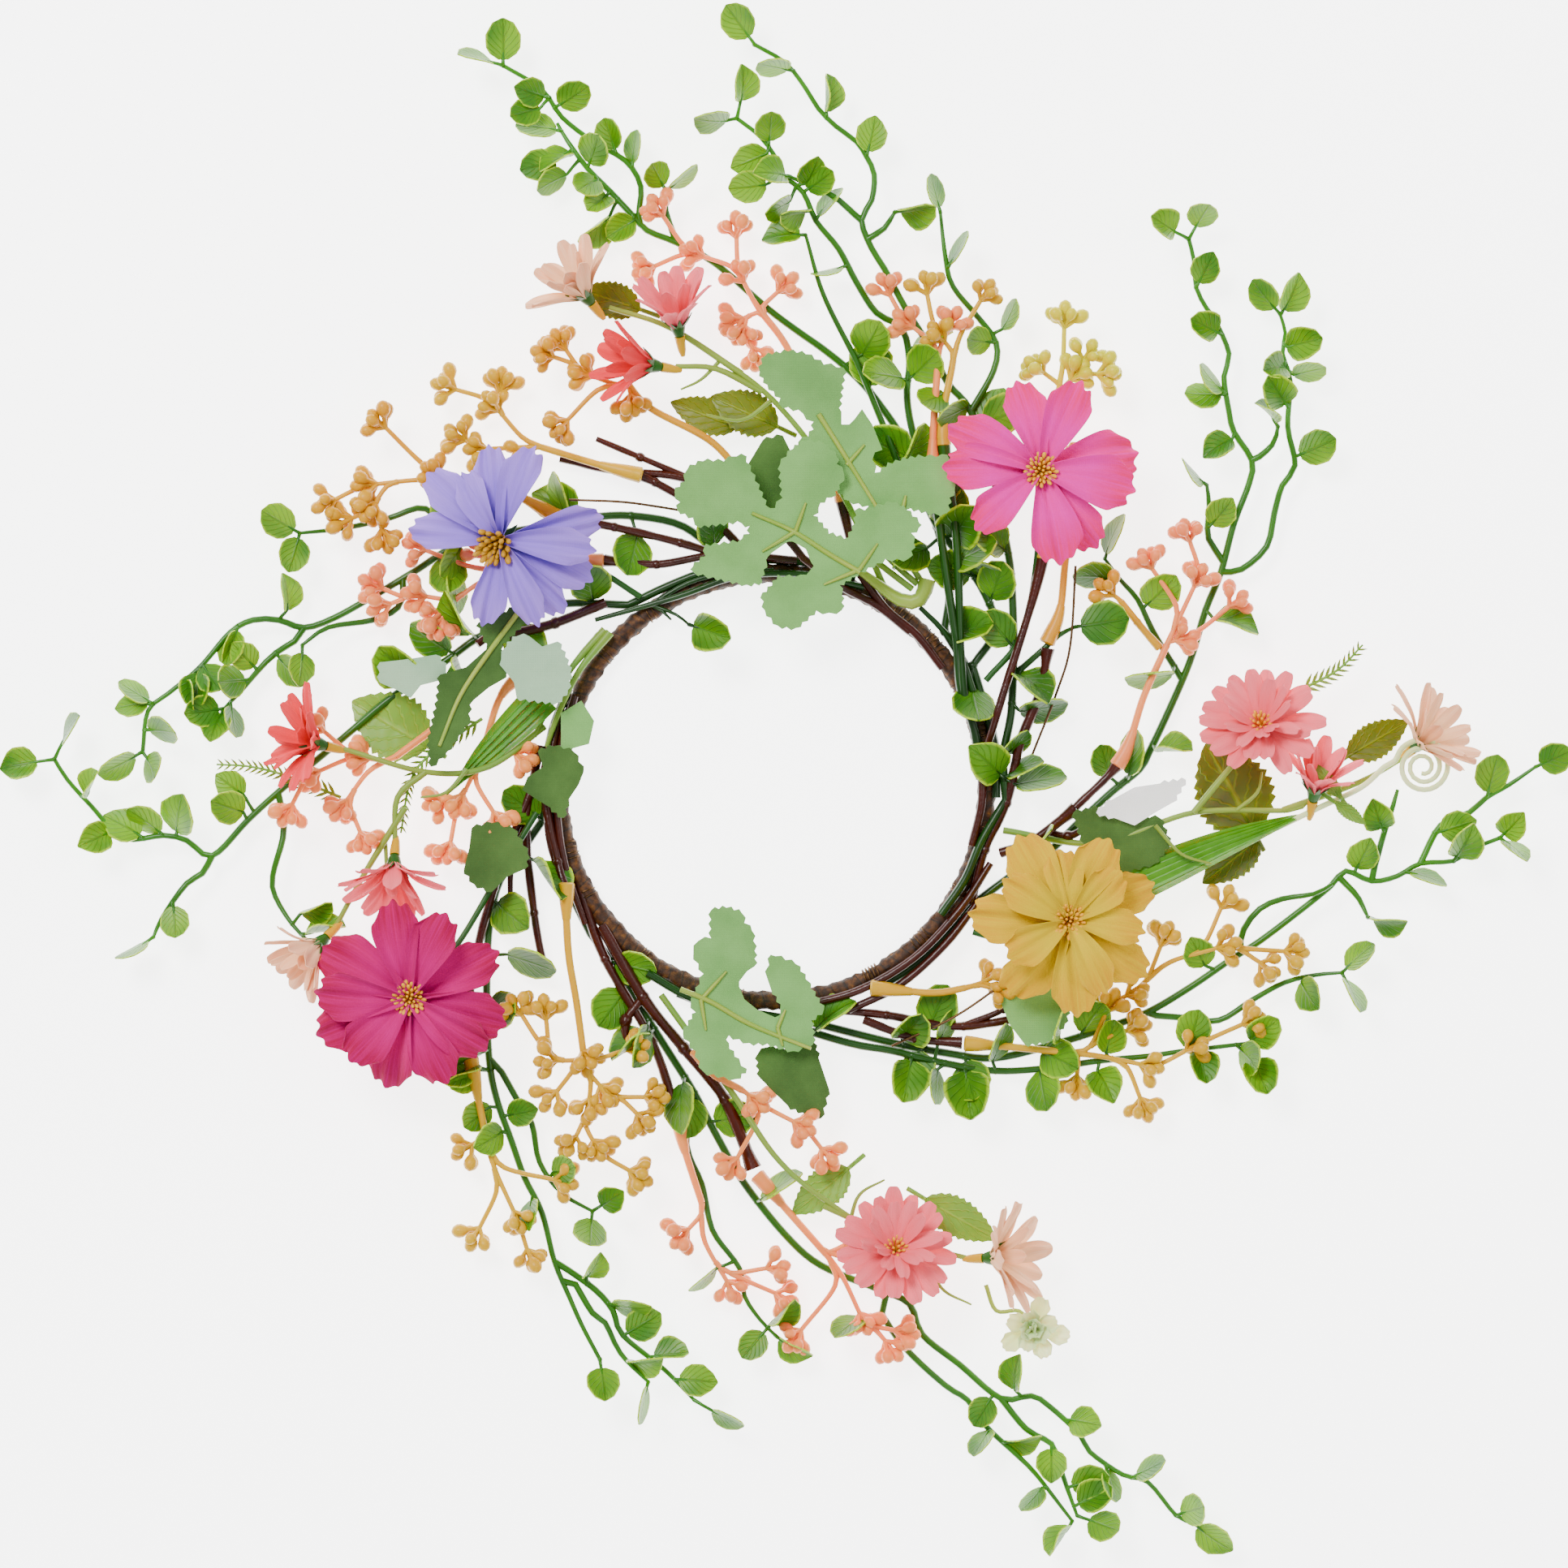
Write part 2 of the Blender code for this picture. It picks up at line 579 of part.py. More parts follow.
def make_berry_sprays(collection):
    """The berry sprays, each bound to the ring by its stalk."""
    make_berry_spray(
        collection, "berries_gold_left", "yellow", LOW,
        [(-10, 92), (-35, 112), (-60, 125), (-91, 134)],
        [(-108, 125), (-118, 133), (-108, 161), (-128, 157), (-126, 141)],
    )
    make_berry_spray(
        collection, "berries_orange_left", "orange", MIDDLE,
        [(-36, 84), (-70, 108), (-128, 120)],
        [(-138, 121), (-156, 145), (-177, 111), (-160, 115), (-153, 98)],
    )
    make_berry_spray(
        collection, "berries_gold_top", "yellow", MIDDLE,
        [(12, 90), (-23, 135), (-58, 158)],
        [(-64, 150), (-76, 163), (-91, 171), (-83, 178), (-85, 145)],
    )
    make_berry_spray(
        collection, "berries_pink_left", "pink", LOW,
        [(-44, 80), (-68, 89), (-108, 88)],
        [(-118, 93), (-132, 63), (-142, 76), (-158, 78), (-142, 95)],
    )
    make_berry_spray(
        collection, "berries_peach_top", "peach", LOW,
        [(33, 86), (22, 135), (7, 171), (-5, 188)],
        [(-15, 180), (-15, 204), (5, 200), (-32, 212), (-47, 229), (-15, 222)],
    )
    make_berry_spray(
        collection, "berries_mixed_top_right", "peach", MIDDLE,
        [(72, 58), (66, 100), (63, 131), (65, 168)],
        [(71, 183), (52, 185), (43, 198), (60, 199), (84, 196)],
    )
    make_berry_spray(
        collection, "berries_lime_right", "lime", MIDDLE,
        [(88, 28), (106, 90), (110, 148)],
        [(103, 167), (121, 164), (133, 163), (126, 173), (115, 186)],
    )
    make_berry_spray(
        collection, "berries_pink_right", "pink", MIDDLE,
        [(93, -6), (119, -4), (146, 36), (155, 56)],
        [(163, 60), (168, 84), (184, 74), (147, 91), (163, 102), (130, 78)],
    )
    make_berry_spray(
        collection, "berries_gold_low_right", "yellow", LOW,
        [(45, -80), (80, -98), (121, -105)],
        [(121, -119), (150, -110), (145, -94), (168, -102), (190, -91), (180, -62), (156, -60)],
    )
    make_berry_spray(
        collection, "berries_gold_bottom", "yellow", MIDDLE,
        [(-88, -27), (-80, -67), (-75, -105)],
        [(-88, -110), (-65, -124), (-52, -103), (-91, -88), (-79, -142), (-49, -132), (-52, -154)],
    )
    make_berry_spray(
        collection, "berries_gold_low_left", "yellow", LOW,
        [(-93, 4), (-122, -60), (-119, -107), (-112, -133)],
        [(-122, -147), (-100, -172), (-117, -179), (-95, -187), (-84, -158)],
    )
    make_berry_spray(
        collection, "berries_peach_left", "peach", MIDDLE,
        [(-66, 68), (-104, 58), (-131, 25), (-148, 12)],
        [(-164, 11), (-161, -23), (-171, -9), (-183, 5), (-192, -11), (-181, 25)],
    )
    make_berry_spray(
        collection, "berries_peach_bottom", "peach", LOW,
        [(-66, -66), (-35, -103), (-6, -153), (21, -184)],
        [(34, -180), (53, -193), (37, -212), (50, -218), (9, -219)],
    )


def make_twigs(collection):
    """Bare brown twigs that lie along the ring."""
    make_twig(
        collection, "twig_bottom", SECOND,
        [(26, -88), (45, -90), (75, -93), (115, -84)],
        [(75, -93), (92, -88), (104, -77)],
    )
    make_twig(
        collection, "twig_top_left", SECOND,
        [(26, 88), (0, 108), (-33, 122), (-62, 124), (-84, 130)],
        [(-33, 122), (-52, 130), (-70, 138)],
    )
    make_twig(
        collection, "twig_bottom_left", SECOND,
        [(-92, 17), (-97, -14), (-94, -50), (-90, -75)],
        [(-97, -14), (-103, -30), (-104, -50)],
    )


def make_blossoms(collection):
    """The four cosmos, and four daisy sprays with their eleven blossoms."""
    make_cosmos(collection, "cosmos_pink", "hot_pink", (106, 123), [(84, 42), (98, 60), (104, 92)], 7)
    make_cosmos(collection, "cosmos_magenta", "magenta", (-141, -82), [(-93, -10), (-108, -35), (-124, -62)], 8)
    make_cosmos(collection, "cosmos_yellow", "sunflower", (115, -52), [(79, -57), (92, -60), (104, -56)], 8)
    make_cosmos(collection, "cosmos_lilac", "lilac", (-104, 96), [(-52, 75), (-70, 86), (-90, 92)], 7)
    make_daisy_stalks(
        collection, "daisy_stalks_top",
        [(44, 79), (26, 118), (0, 152), (-36, 176)],
        [[(-20, 168), (-48, 186), (-70, 192)], [(-10, 160), (-34, 164), (-50, 166)]],
    )
    make_daisy_head(collection, "daisy_peach_top", "blush", (-74, 193), 135)
    make_daisy_head(collection, "daisy_pink_top", "rose", (-36, 181), 95)
    make_daisy_head(collection, "daisy_coral_top", "coral", (-54, 166), 178, spread=70, petals=3)
    make_daisy_stalks(
        collection, "daisy_stalks_right",
        [(91, -17), (128, -22), (165, -10), (200, -6), (209, -4)],
        [[(165, -10), (178, 10), (192, 22)], [(200, -6), (230, 6), (250, 14)]],
    )
    make_daisy_head(collection, "daisy_pink_right", "rose", (190, 17), 115, spread=90, petals=4)
    make_daisy_head(collection, "daisy_rose_right", "rose", (215, -5), 80, spread=70, petals=4)
    make_daisy_head(collection, "daisy_peach_right", "blush", (250, 17), 45, spread=100, petals=5)
    make_daisy_stalks(
        collection, "daisy_stalks_bottom",
        [(-44, -82), (-16, -120), (6, -150), (44, -178)],
        [[(20, -166), (55, -172), (84, -183)]],
    )
    make_daisy_head(collection, "daisy_pink_bottom", "rose", (44, -180), 80, spread=110, petals=6)
    make_daisy_head(collection, "daisy_peach_bottom", "blush", (88, -184), 5, spread=120, petals=6)
    make_daisy_stalks(
        collection, "daisy_stalks_left",
        [(-90, 24), (-112, 8), (-136, 6), (-168, 16)],
        [[(-136, 6), (-144, -8), (-148, -22)], [(-144, -8), (-164, -34), (-172, -56)]],
    )
    make_daisy_head(collection, "daisy_coral_left", "coral", (-170, 16), 165, spread=110, petals=5)
    make_daisy_head(collection, "daisy_pink_left", "rose", (-148, -20), 270, spread=110, petals=6)
    make_daisy_head(collection, "daisy_peach_left", "blush", (-173, -58), 225, spread=60, petals=3)


def make_foliage(collection):
    """Cloth leaves, moulded leaves, grass and a tendril."""
    make_lobed_leaf(collection, "sage_leaf_top", "sage", (55, 74), (-38, 116), 30, TOP_CLOTH)
    make_lobed_leaf(collection, "sage_leaf_upper", "sage", (66, 92), (6, 168), 24, CLOTH)
    make_lobed_leaf(collection, "sage_leaf_left", "sage", (-88, 46), (-145, 44), 20, CLOTH)
    make_lobed_leaf(collection, "sage_leaf_bottom", "sage", (24, -103), (-38, -76), 27, CLOTH)
    make_lobed_leaf(collection, "serrated_leaf_right", "olive", (190, -22), (170, 18), 15, LOW, 2)
    make_grass(collection)
    make_curl(collection)


def main():
    """Clears the scene and builds the crown."""
    for thing in list(bpy.data.objects):
        bpy.data.objects.remove(thing)
    crown = fresh_collection("flower_crown")
    make_core_hoop(crown)
    make_tape_wrap(crown)
    for name, (bearing, turns) in BINDINGS.items():
        make_binding(crown, name, bearing, turns)
    make_vines(crown)
    make_berry_sprays(crown)
    make_twigs(crown)
    make_blossoms(crown)
    make_foliage(crown)


main()
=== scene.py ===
"""Dresses the flower crown: wound tape, moulded vines and berries, cloth blossoms and die-cut leaves.

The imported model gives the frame. Layout points are millimetres seen from above, for a hoop of
LAYOUT_RING; Layout carries them to the hoop that the frame holds and takes the heights from its nodes.
"""

from __future__ import annotations

import logging
import math
from dataclasses import dataclass, field
from enum import Enum
from random import Random
from typing import Callable, Iterable, Sequence

import bmesh
import bpy
from mathutils import Matrix, Vector, noise

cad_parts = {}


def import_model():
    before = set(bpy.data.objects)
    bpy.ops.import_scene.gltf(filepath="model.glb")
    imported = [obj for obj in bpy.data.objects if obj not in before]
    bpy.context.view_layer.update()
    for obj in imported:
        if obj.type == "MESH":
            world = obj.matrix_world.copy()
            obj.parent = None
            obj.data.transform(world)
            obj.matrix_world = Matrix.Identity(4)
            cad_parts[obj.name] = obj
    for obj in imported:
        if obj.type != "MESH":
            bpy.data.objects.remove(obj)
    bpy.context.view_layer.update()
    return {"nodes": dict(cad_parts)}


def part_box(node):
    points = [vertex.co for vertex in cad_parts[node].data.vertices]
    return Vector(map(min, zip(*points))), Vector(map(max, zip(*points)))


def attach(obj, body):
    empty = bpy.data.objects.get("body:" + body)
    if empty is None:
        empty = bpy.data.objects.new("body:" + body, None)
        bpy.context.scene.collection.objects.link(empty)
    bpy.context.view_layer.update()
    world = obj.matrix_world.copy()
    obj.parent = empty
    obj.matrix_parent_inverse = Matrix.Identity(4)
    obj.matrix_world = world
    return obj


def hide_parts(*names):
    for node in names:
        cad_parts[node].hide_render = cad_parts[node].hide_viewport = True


LOG = logging.getLogger("flower_crown")
MM = 0.001
LAYOUT_RING = 84.5
UP = Vector((0, 0, 1))
BODY = "root"
GOLDEN_TURN = 2.39996  # radians; it spreads stamens and petals evenly
LEAF_LENGTH = 0.0146  # metres, of the vine's leaves
LONGEST_LEAF_STALK = 0.0085
BERRY_LENGTH = 0.0108
KNUCKLE_RADIUS = 0.0020
Spot = tuple[float, float]
Corner = tuple[float, float, float]
Station = tuple[float, float]
Run = tuple[Sequence[Vector], Sequence[float]]
Copy = tuple[bpy.types.Object, Matrix]
Feed = bpy.types.Node | bpy.types.NodeSocket
Settings = dict[str | int, object]
Links = dict[str | int, Feed]


# ---------------------------------------------------------------- places


class Layout:
    """Where things go: layout millimetres turned to metres on the hoop that the frame holds."""

    def __init__(self) -> None:
        """Reads the hoop's size from its tape."""
        low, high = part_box("tape_wrap")
        self.tape_radius = (high[2] - low[2]) / 2
        self.ring_radius = (high[0] - low[0]) / 2 - self.tape_radius
        self.scale = self.ring_radius / LAYOUT_RING

    def at(self, x: float, y: float, height: float = 0.0) -> Vector:
        """A point of the layout.

        Args:
            x: millimetres to the right of the hoop's middle.
            y: millimetres above it, as seen from over the crown.
            height: millimetres above the surface that the crown lies on.
        Returns:
            The point in metres.
        """
        return Vector((x * self.scale, y * self.scale, height * MM))

    def storey(self, node: str, below_top: float = 0.0) -> float:
        """The height in millimetres at which a node lies.

        Args:
            node: the CAD node.
            below_top: how far under its top it lies; without it, the middle of its box.
        Returns:
            The height in millimetres.
        """
        low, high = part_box(node)
        if below_top:
            return high[2] / MM - below_top
        return (low[2] + high[2]) / 2 / MM


# ---------------------------------------------------------------- the modelling bench


def deselect() -> None:
    """Leaves nothing selected."""
    bpy.ops.object.select_all(action="DESELECT")


def active(obj: bpy.types.Object) -> bpy.types.Object:
    """Makes this the one selected and active object.

    Args:
        obj: the object.
    Returns:
        The same object.
    """
    deselect()
    obj.select_set(True)
    bpy.context.view_layer.objects.active = obj
    return obj


def pick(obj: bpy.types.Object, wanted: Callable[[Vector], bool]) -> None:
    """Selects vertices of the object in edit mode by their place.

    Args:
        obj: the object.
        wanted: says whether a place is wanted.
    """
    mesh = bmesh.from_edit_mesh(obj.data)
    for vert in mesh.verts:
        vert.select_set(False)
    for vert in mesh.verts:
        if wanted(vert.co):
            vert.select_set(True)
    mesh.select_flush_mode()
    bmesh.update_edit_mesh(obj.data)


def sculpt(obj: bpy.types.Object, move: Callable[[Vector], Vector]) -> None:
    """Moves every vertex of a mesh.

    Args:
        obj: the object.
        move: gives the new place for an old one.
    """
    for vert in obj.data.vertices:
        vert.co = move(vert.co)
    obj.data.update()


def blade(name: str, columns: int, length: float, rows: Sequence[Station]) -> bpy.types.Object:
    """A flat blade from the origin along +Y, a grid whose rows are widened and lifted one by one.

    Args:
        name: the object's name.
        columns: faces across.
        length: metres from foot to tip.
        rows: (width, lift) in metres of each crosswise row, the foot first.
    Returns:
        The blade.
    """
    deselect()
    steps = len(rows) - 1
    bpy.ops.mesh.primitive_grid_add(x_subdivisions=columns, y_subdivisions=steps, size=1)
    obj = bpy.context.object
    obj.name = name
    bpy.ops.object.mode_set(mode="EDIT")
    bpy.ops.mesh.select_mode(type="VERT")
    bpy.ops.mesh.select_all(action="SELECT")
    bpy.ops.transform.translate(value=(0, 0.5, 0))
    bpy.ops.transform.resize(value=(1, length, 1), center_override=(0, 0, 0))
    for k, (width, lift) in enumerate(rows):
        y = length * k / steps
        pick(obj, lambda place, y=y: abs(place.y - y) < length / steps / 4)
        bpy.ops.transform.resize(value=(width, 1, 1), center_override=(0, y, 0))
        bpy.ops.transform.translate(value=(0, 0, lift))
    bpy.ops.object.mode_set(mode="OBJECT")
    return obj


def turned(name: str, sides: int, stations: Sequence[Station]) -> bpy.types.Object:
    """A round shape along +Y: a filled circle extruded and resized from station to station.

    Args:
        name: the object's name.
        sides: vertices round it.
        stations: (place along Y, radius) in metres, in order.
    Returns:
        The closed shape.
    """
    deselect()
    first, radius = stations[0]
    bpy.ops.mesh.primitive_circle_add(vertices=sides, radius=radius, fill_type="NGON", location=(0, 0, first))
    obj = bpy.context.object
    obj.name = name
    bpy.ops.object.transform_apply(location=True)
    bpy.ops.object.mode_set(mode="EDIT")
    bpy.ops.mesh.select_all(action="SELECT")
    for here, there in zip(stations, stations[1:]):
        bpy.ops.mesh.extrude_region_move(TRANSFORM_OT_translate={"value": (0, 0, there[0] - here[0])})
        share = there[1] / here[1]
        bpy.ops.transform.resize(value=(share, share, 1), center_override=(0, 0, there[0]))
    bpy.ops.mesh.select_all(action="SELECT")
    bpy.ops.mesh.normals_make_consistent(inside=False)
    bpy.ops.object.mode_set(mode="OBJECT")
    obj.data.transform(Matrix.Rotation(-math.pi / 2, 4, "X"))
    bpy.ops.object.shade_smooth_by_angle(angle=math.radians(60))
    return obj


def apply_all(obj: bpy.types.Object) -> None:
    """Applies the object's modifiers in order."""
    active(obj)
    for modifier in list(obj.modifiers):
        bpy.ops.object.modifier_apply(modifier=modifier.name)


def thicken(obj: bpy.types.Object, thickness: float, rounds: int = 0) -> bpy.types.Object:
    """Rounds an open sheet with subdivision and gives it a wall.

    Args:
        obj: the sheet.
        thickness: metres.
        rounds: levels of subdivision before the wall is made.
    Returns:
        The same object, closed and smooth.
    """
    if rounds:
        softer = obj.modifiers.new("softer", "SUBSURF")
        softer.levels = softer.render_levels = rounds
    wall = obj.modifiers.new("wall", "SOLIDIFY")
    wall.thickness = thickness
    wall.offset = 0
    apply_all(obj)
    bpy.ops.object.shade_smooth_by_angle(angle=math.radians(50))
    return obj


def toward(turn: float, up: float = 0.0) -> Vector:
    """The unit vector at this bearing and elevation, both in radians."""
    return Vector((math.cos(turn) * math.cos(up), math.sin(turn) * math.cos(up), math.sin(up)))


def pose(at: Vector, along: Vector, up: Vector = UP, size: float = 1.0, roll: float = 0.0) -> Matrix:
    """The placing of a template that lies along +Y with its face to +Z.

    Args:
        at: where its foot goes.
        along: where it points.
        up: the way its face turns, as near as it can.
        size: its scale.
        roll: radians it turns about its own length.
    Returns:
        The matrix.
    """
    forward = along.normalized()
    side = forward.cross(up)
    if side.length < 1e-5:
        side = Vector((1, 0, 0))
    side.normalize()
    frame = Matrix((side, forward, side.cross(forward))).transposed().to_4x4()
    frame.translation = at
    return frame @ Matrix.Rotation(roll, 4, "Y") @ Matrix.Diagonal((size, size, size, 1))


def stamped(name: str, copies: Iterable[Copy]) -> bpy.types.Object:
    """One piece of copies of templates, each copy with its own mesh before they are joined.

    Args:
        name: the piece's name.
        copies: each template and its placing.
    Returns:
        The piece.
    """
    made = []
    for template, placing in copies:
        copy = bpy.data.objects.new(name, template.data.copy())
        copy.data.transform(placing)
        bpy.context.scene.collection.objects.link(copy)
        made.append(copy)
    return joined(name, made)


def joined(name: str, pieces: Sequence[bpy.types.Object]) -> bpy.types.Object:
    """Joins pieces into one.

    Args:
        name: the joined piece's name.
        pieces: the pieces, of which the first one stays.
    Returns:
        The joined piece.
    """
    deselect()
    for piece in pieces:
        piece.select_set(True)
    bpy.context.view_layer.objects.active = pieces[0]
    if len(pieces) > 1:
        bpy.ops.object.join()
    pieces[0].name = name
    pieces[0].data.name = name
    return pieces[0]


def smooth_line(corners: Sequence[Vector], step: float = 0.004) -> list[Vector]:
    """Runs a smooth curve through corners.

    Args:
        corners: the corners, two or more.
        step: metres from point to point, about.
    Returns:
        The curve's points.
    """
    padded = [corners[0] * 2 - corners[1], *corners, corners[-1] * 2 - corners[-2]]
    line = [corners[0].copy()]
    for a, b, c, d in zip(padded, padded[1:], padded[2:], padded[3:]):
        count = max(1, round((c - b).length / step))
        for k in range(1, count + 1):
            t = k / count
            even = (c - a) * t + (2 * a - 5 * b + 4 * c - d) * t**2 + (3 * b - 3 * c + d - a) * t**3
            line.append(b + even / 2)
    return line


def root_tail(layout: Layout, first: Vector, height: float, back: float = 34.0) -> list[Vector]:
    """Points along the hoop, up to where a stem leaves it: stems lie along the tape before they part from it.

    Args:
        layout: the layout.
        first: the stem's first point off the hoop.
        height: metres of the stem over the rest plane, which puts it beside the tape or on it.
        back: degrees of the hoop that the stem lies along.
    Returns:
        The points, the root first.
    """
    bearing = math.atan2(first.y, first.x)
    over = layout.tape_radius + 0.0012
    above = min(1.0, max(0.0, (height - layout.tape_radius) / over))
    points = []
    for share in (1.0, 0.66, 0.33):
        swing = math.asin(above) + 0.5 * share
        turn = bearing - math.radians(back * share)
        out = layout.ring_radius + over * math.cos(swing)
        points.append(toward(turn) * out + UP * (layout.tape_radius + over * math.sin(swing)))
    return points


def editable(name: str, curve: bpy.types.Curve, weld: float) -> bpy.types.Object:
    """The curve as a mesh, in edit mode with all selected and its double points welded.

    Args:
        name: the object's name.
        curve: the curve.
        weld: metres within which two points are one.
    Returns:
        The object.
    """
    obj = bpy.data.objects.new(name, curve)
    bpy.context.scene.collection.objects.link(obj)
    active(obj)
    bpy.ops.object.convert(target="MESH")
    bpy.ops.object.mode_set(mode="EDIT")
    bpy.ops.mesh.select_all(action="SELECT")
    bpy.ops.mesh.remove_doubles(threshold=weld)
    return bpy.context.object


def rods(name: str, runs: Sequence[Run], resolution: int = 2) -> bpy.types.Object:
    """Round rods with filled ends, one along each run of points.

    Args:
        name: the piece's name.
        runs: the points of each rod and its radius at a few even shares of its length.
        resolution: 1 gives 6 sides, 2 gives 8.
    Returns:
        The rods as one mesh object.
    """
    curve = bpy.data.curves.new(name, "CURVE")
    curve.dimensions = "3D"
    curve.bevel_depth = 1.0
    curve.bevel_resolution = resolution
    curve.use_fill_caps = True
    for points, radii in runs:
        spline = curve.splines.new("POLY")
        spline.points.add(len(points) - 1)
        for k, point in enumerate(points):
            share = k / (len(points) - 1) * (len(radii) - 1)
            low = min(int(share), len(radii) - 2) if len(radii) > 1 else 0
            high = min(low + 1, len(radii) - 1)
            spline.points[k].co = (*point, 1.0)
            spline.points[k].radius = radii[low] + (radii[high] - radii[low]) * (share - low)
    obj = editable(name, curve, 2e-6)
    bpy.ops.mesh.normals_make_consistent(inside=False)
    bpy.ops.object.mode_set(mode="OBJECT")
    bpy.ops.object.shade_smooth_by_angle(angle=math.radians(50))
    obj.name = name
    return obj


def settle(obj: bpy.types.Object, finish: Finish, node: str = "") -> None:
    """Gives a finished piece its material, parents it to the body and hides the CAD node that it replaces.

    Args:
        obj: the piece.
        finish: what it is made of.
        node: the CAD node that it replaces, if it replaces one.
    """
    obj.data.materials.clear()
    obj.data.materials.append(finish.material())
    for face in obj.data.polygons:
        face.material_index = 0
    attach(obj, BODY)
    if node:
        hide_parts(node)
    LOG.info("%s: %d faces", obj.name, len(obj.data.polygons))


# ---------------------------------------------------------------- finishes


def linear(hex_colour: str) -> tuple[float, float, float, float]:
    """The linear colour, with alpha 1, of an sRGB hex such as #A0B0C0."""
    parts = [int(hex_colour[k : k + 2], 16) / 255 for k in (1, 3, 5)]
    return (*(p / 12.92 if p <= 0.04045 else ((p + 0.055) / 1.055) ** 2.4 for p in parts), 1.0)


def add_node(
    tree: bpy.types.NodeTree, kind: str, settings: Settings | None = None, links: Links | None = None
) -> bpy.types.Node:
    """A node with its settings and links.

    Args:
        tree: the material's tree.
        kind: the node's type, without its ShaderNode.
        settings: values by socket name or number, "stops" for a colour ramp, or a property's name.
        links: what feeds each input, by name or number: an output socket, or a node for its first output.
    Returns:
        The node.
    """
    node = tree.nodes.new("ShaderNode" + kind)
    for key, value in (settings or {}).items():
        if key == "stops":
            while len(node.color_ramp.elements) < len(value):
                node.color_ramp.elements.new(1.0)
            for element, (place, colour) in zip(node.color_ramp.elements, value):
                element.position = place
                element.color = linear(colour)
        elif isinstance(key, int) or key in node.inputs:
            node.inputs[key].default_value = value
        else:
            setattr(node, key, value)
    for key, source in (links or {}).items():
        tree.links.new(source.outputs[0] if isinstance(source, bpy.types.Node) else source, node.inputs[key])
    return node


def blank(name: str, **settings: float) -> tuple[bpy.types.Material, bpy.types.NodeTree, bpy.types.Node]:
    """A new material with nothing on it yet.

    Args:
        name: the material's name.
        settings: values for the shader's own sockets, by name.
    Returns:
        The material, its tree and its shader.
    """
    material = bpy.data.materials.new(name)
    material.use_nodes = True
    tree = material.node_tree
    tree.nodes.clear()
    shader = add_node(tree, "BsdfPrincipled", {key.replace("_", " "): value for key, value in settings.items()})
    add_node(tree, "OutputMaterial", {}, {"Surface": shader})
    return material, tree, shader


def paint(tree: bpy.types.NodeTree, shader: bpy.types.Node, colour: Feed, normal: Feed | None = None) -> None:
    """Feeds the shader.

    Args:
        tree: the material's tree.
        shader: its shader.
        colour: what gives the base colour.
        normal: what gives the normal, if something does.
    """
    for key, source in (("Base Color", colour), ("Normal", normal)):
        if source:
            tree.links.new(source.outputs[0] if isinstance(source, bpy.types.Node) else source, shader.inputs[key])


def mix(tree: bpy.types.NodeTree, way: str, share: object, first: object, second: object) -> bpy.types.NodeSocket:
    """The colour of two mixed.

    Args:
        tree: the material's tree.
        way: the blend type.
        share: a number, a node or a socket.
        first: a hex colour, a node or a socket.
        second: a hex colour, a node or a socket.
    Returns:
        The mixed colour's socket.
    """
    settings: Settings = {"data_type": "RGBA", "blend_type": way}
    links: Links = {}
    for key, value in ((0, share), (6, first), (7, second)):
        if isinstance(value, (bpy.types.Node, bpy.types.NodeSocket)):
            links[key] = value
        else:
            settings[key] = linear(value) if isinstance(value, str) else value
    return add_node(tree, "Mix", settings, links).outputs[2]


@dataclass(frozen=True)
class MouldedPlastic:
    """Injection-moulded polyethylene: even colour with a slow drift, a soft gloss and light inside it."""

    name: str
    near: str  # colour by the hoop
    far: str  # colour at the tips
    tint: str  # what the colour drifts towards
    roughness: float = 0.38
    glow: float = 0.0  # subsurface weight
    drift_mm: float = 18.0
    grooves: float = 0.00005  # depth of the moulding marks, metres
    reach: tuple[float, float] = (0.09, 0.27)  # metres from the hoop's middle where near and far hold
    marks_mm: float = 1.4  # size of the moulding marks

    def build(self) -> bpy.types.Material:
        """The material."""
        material, tree, shader = blank(
            self.name, Roughness=self.roughness, IOR=1.5, Specular_IOR_Level=0.3,
            Subsurface_Weight=self.glow, Subsurface_Scale=0.004,
        )
        place = add_node(tree, "TexCoord").outputs["Object"]
        away = add_node(tree, "VectorMath", {"operation": "LENGTH"}, {0: place}).outputs["Value"]
        share = add_node(tree, "MapRange", {"From Min": self.reach[0], "From Max": self.reach[1]}, {"Value": away})
        colour = mix(tree, "MIX", share, self.near, self.far)
        cloud = add_node(tree, "TexNoise", {"Scale": 1000 / self.drift_mm, "Detail": 2.0}, {"Vector": place})
        spread = add_node(tree, "MapRange", {"From Min": 0.35, "From Max": 0.7}, {"Value": cloud})
        colour = mix(tree, "MIX", spread, colour, mix(tree, "MIX", 0.6, colour, self.tint))
        marks = add_node(tree, "TexNoise", {"Scale": 980 / self.marks_mm, "Detail": 3.0}, {"Vector": place})
        bump = add_node(tree, "Bump", {"Strength": 0.5, "Distance": self.grooves}, {"Height": marks})
        paint(tree, shader, colour, bump)
        return material


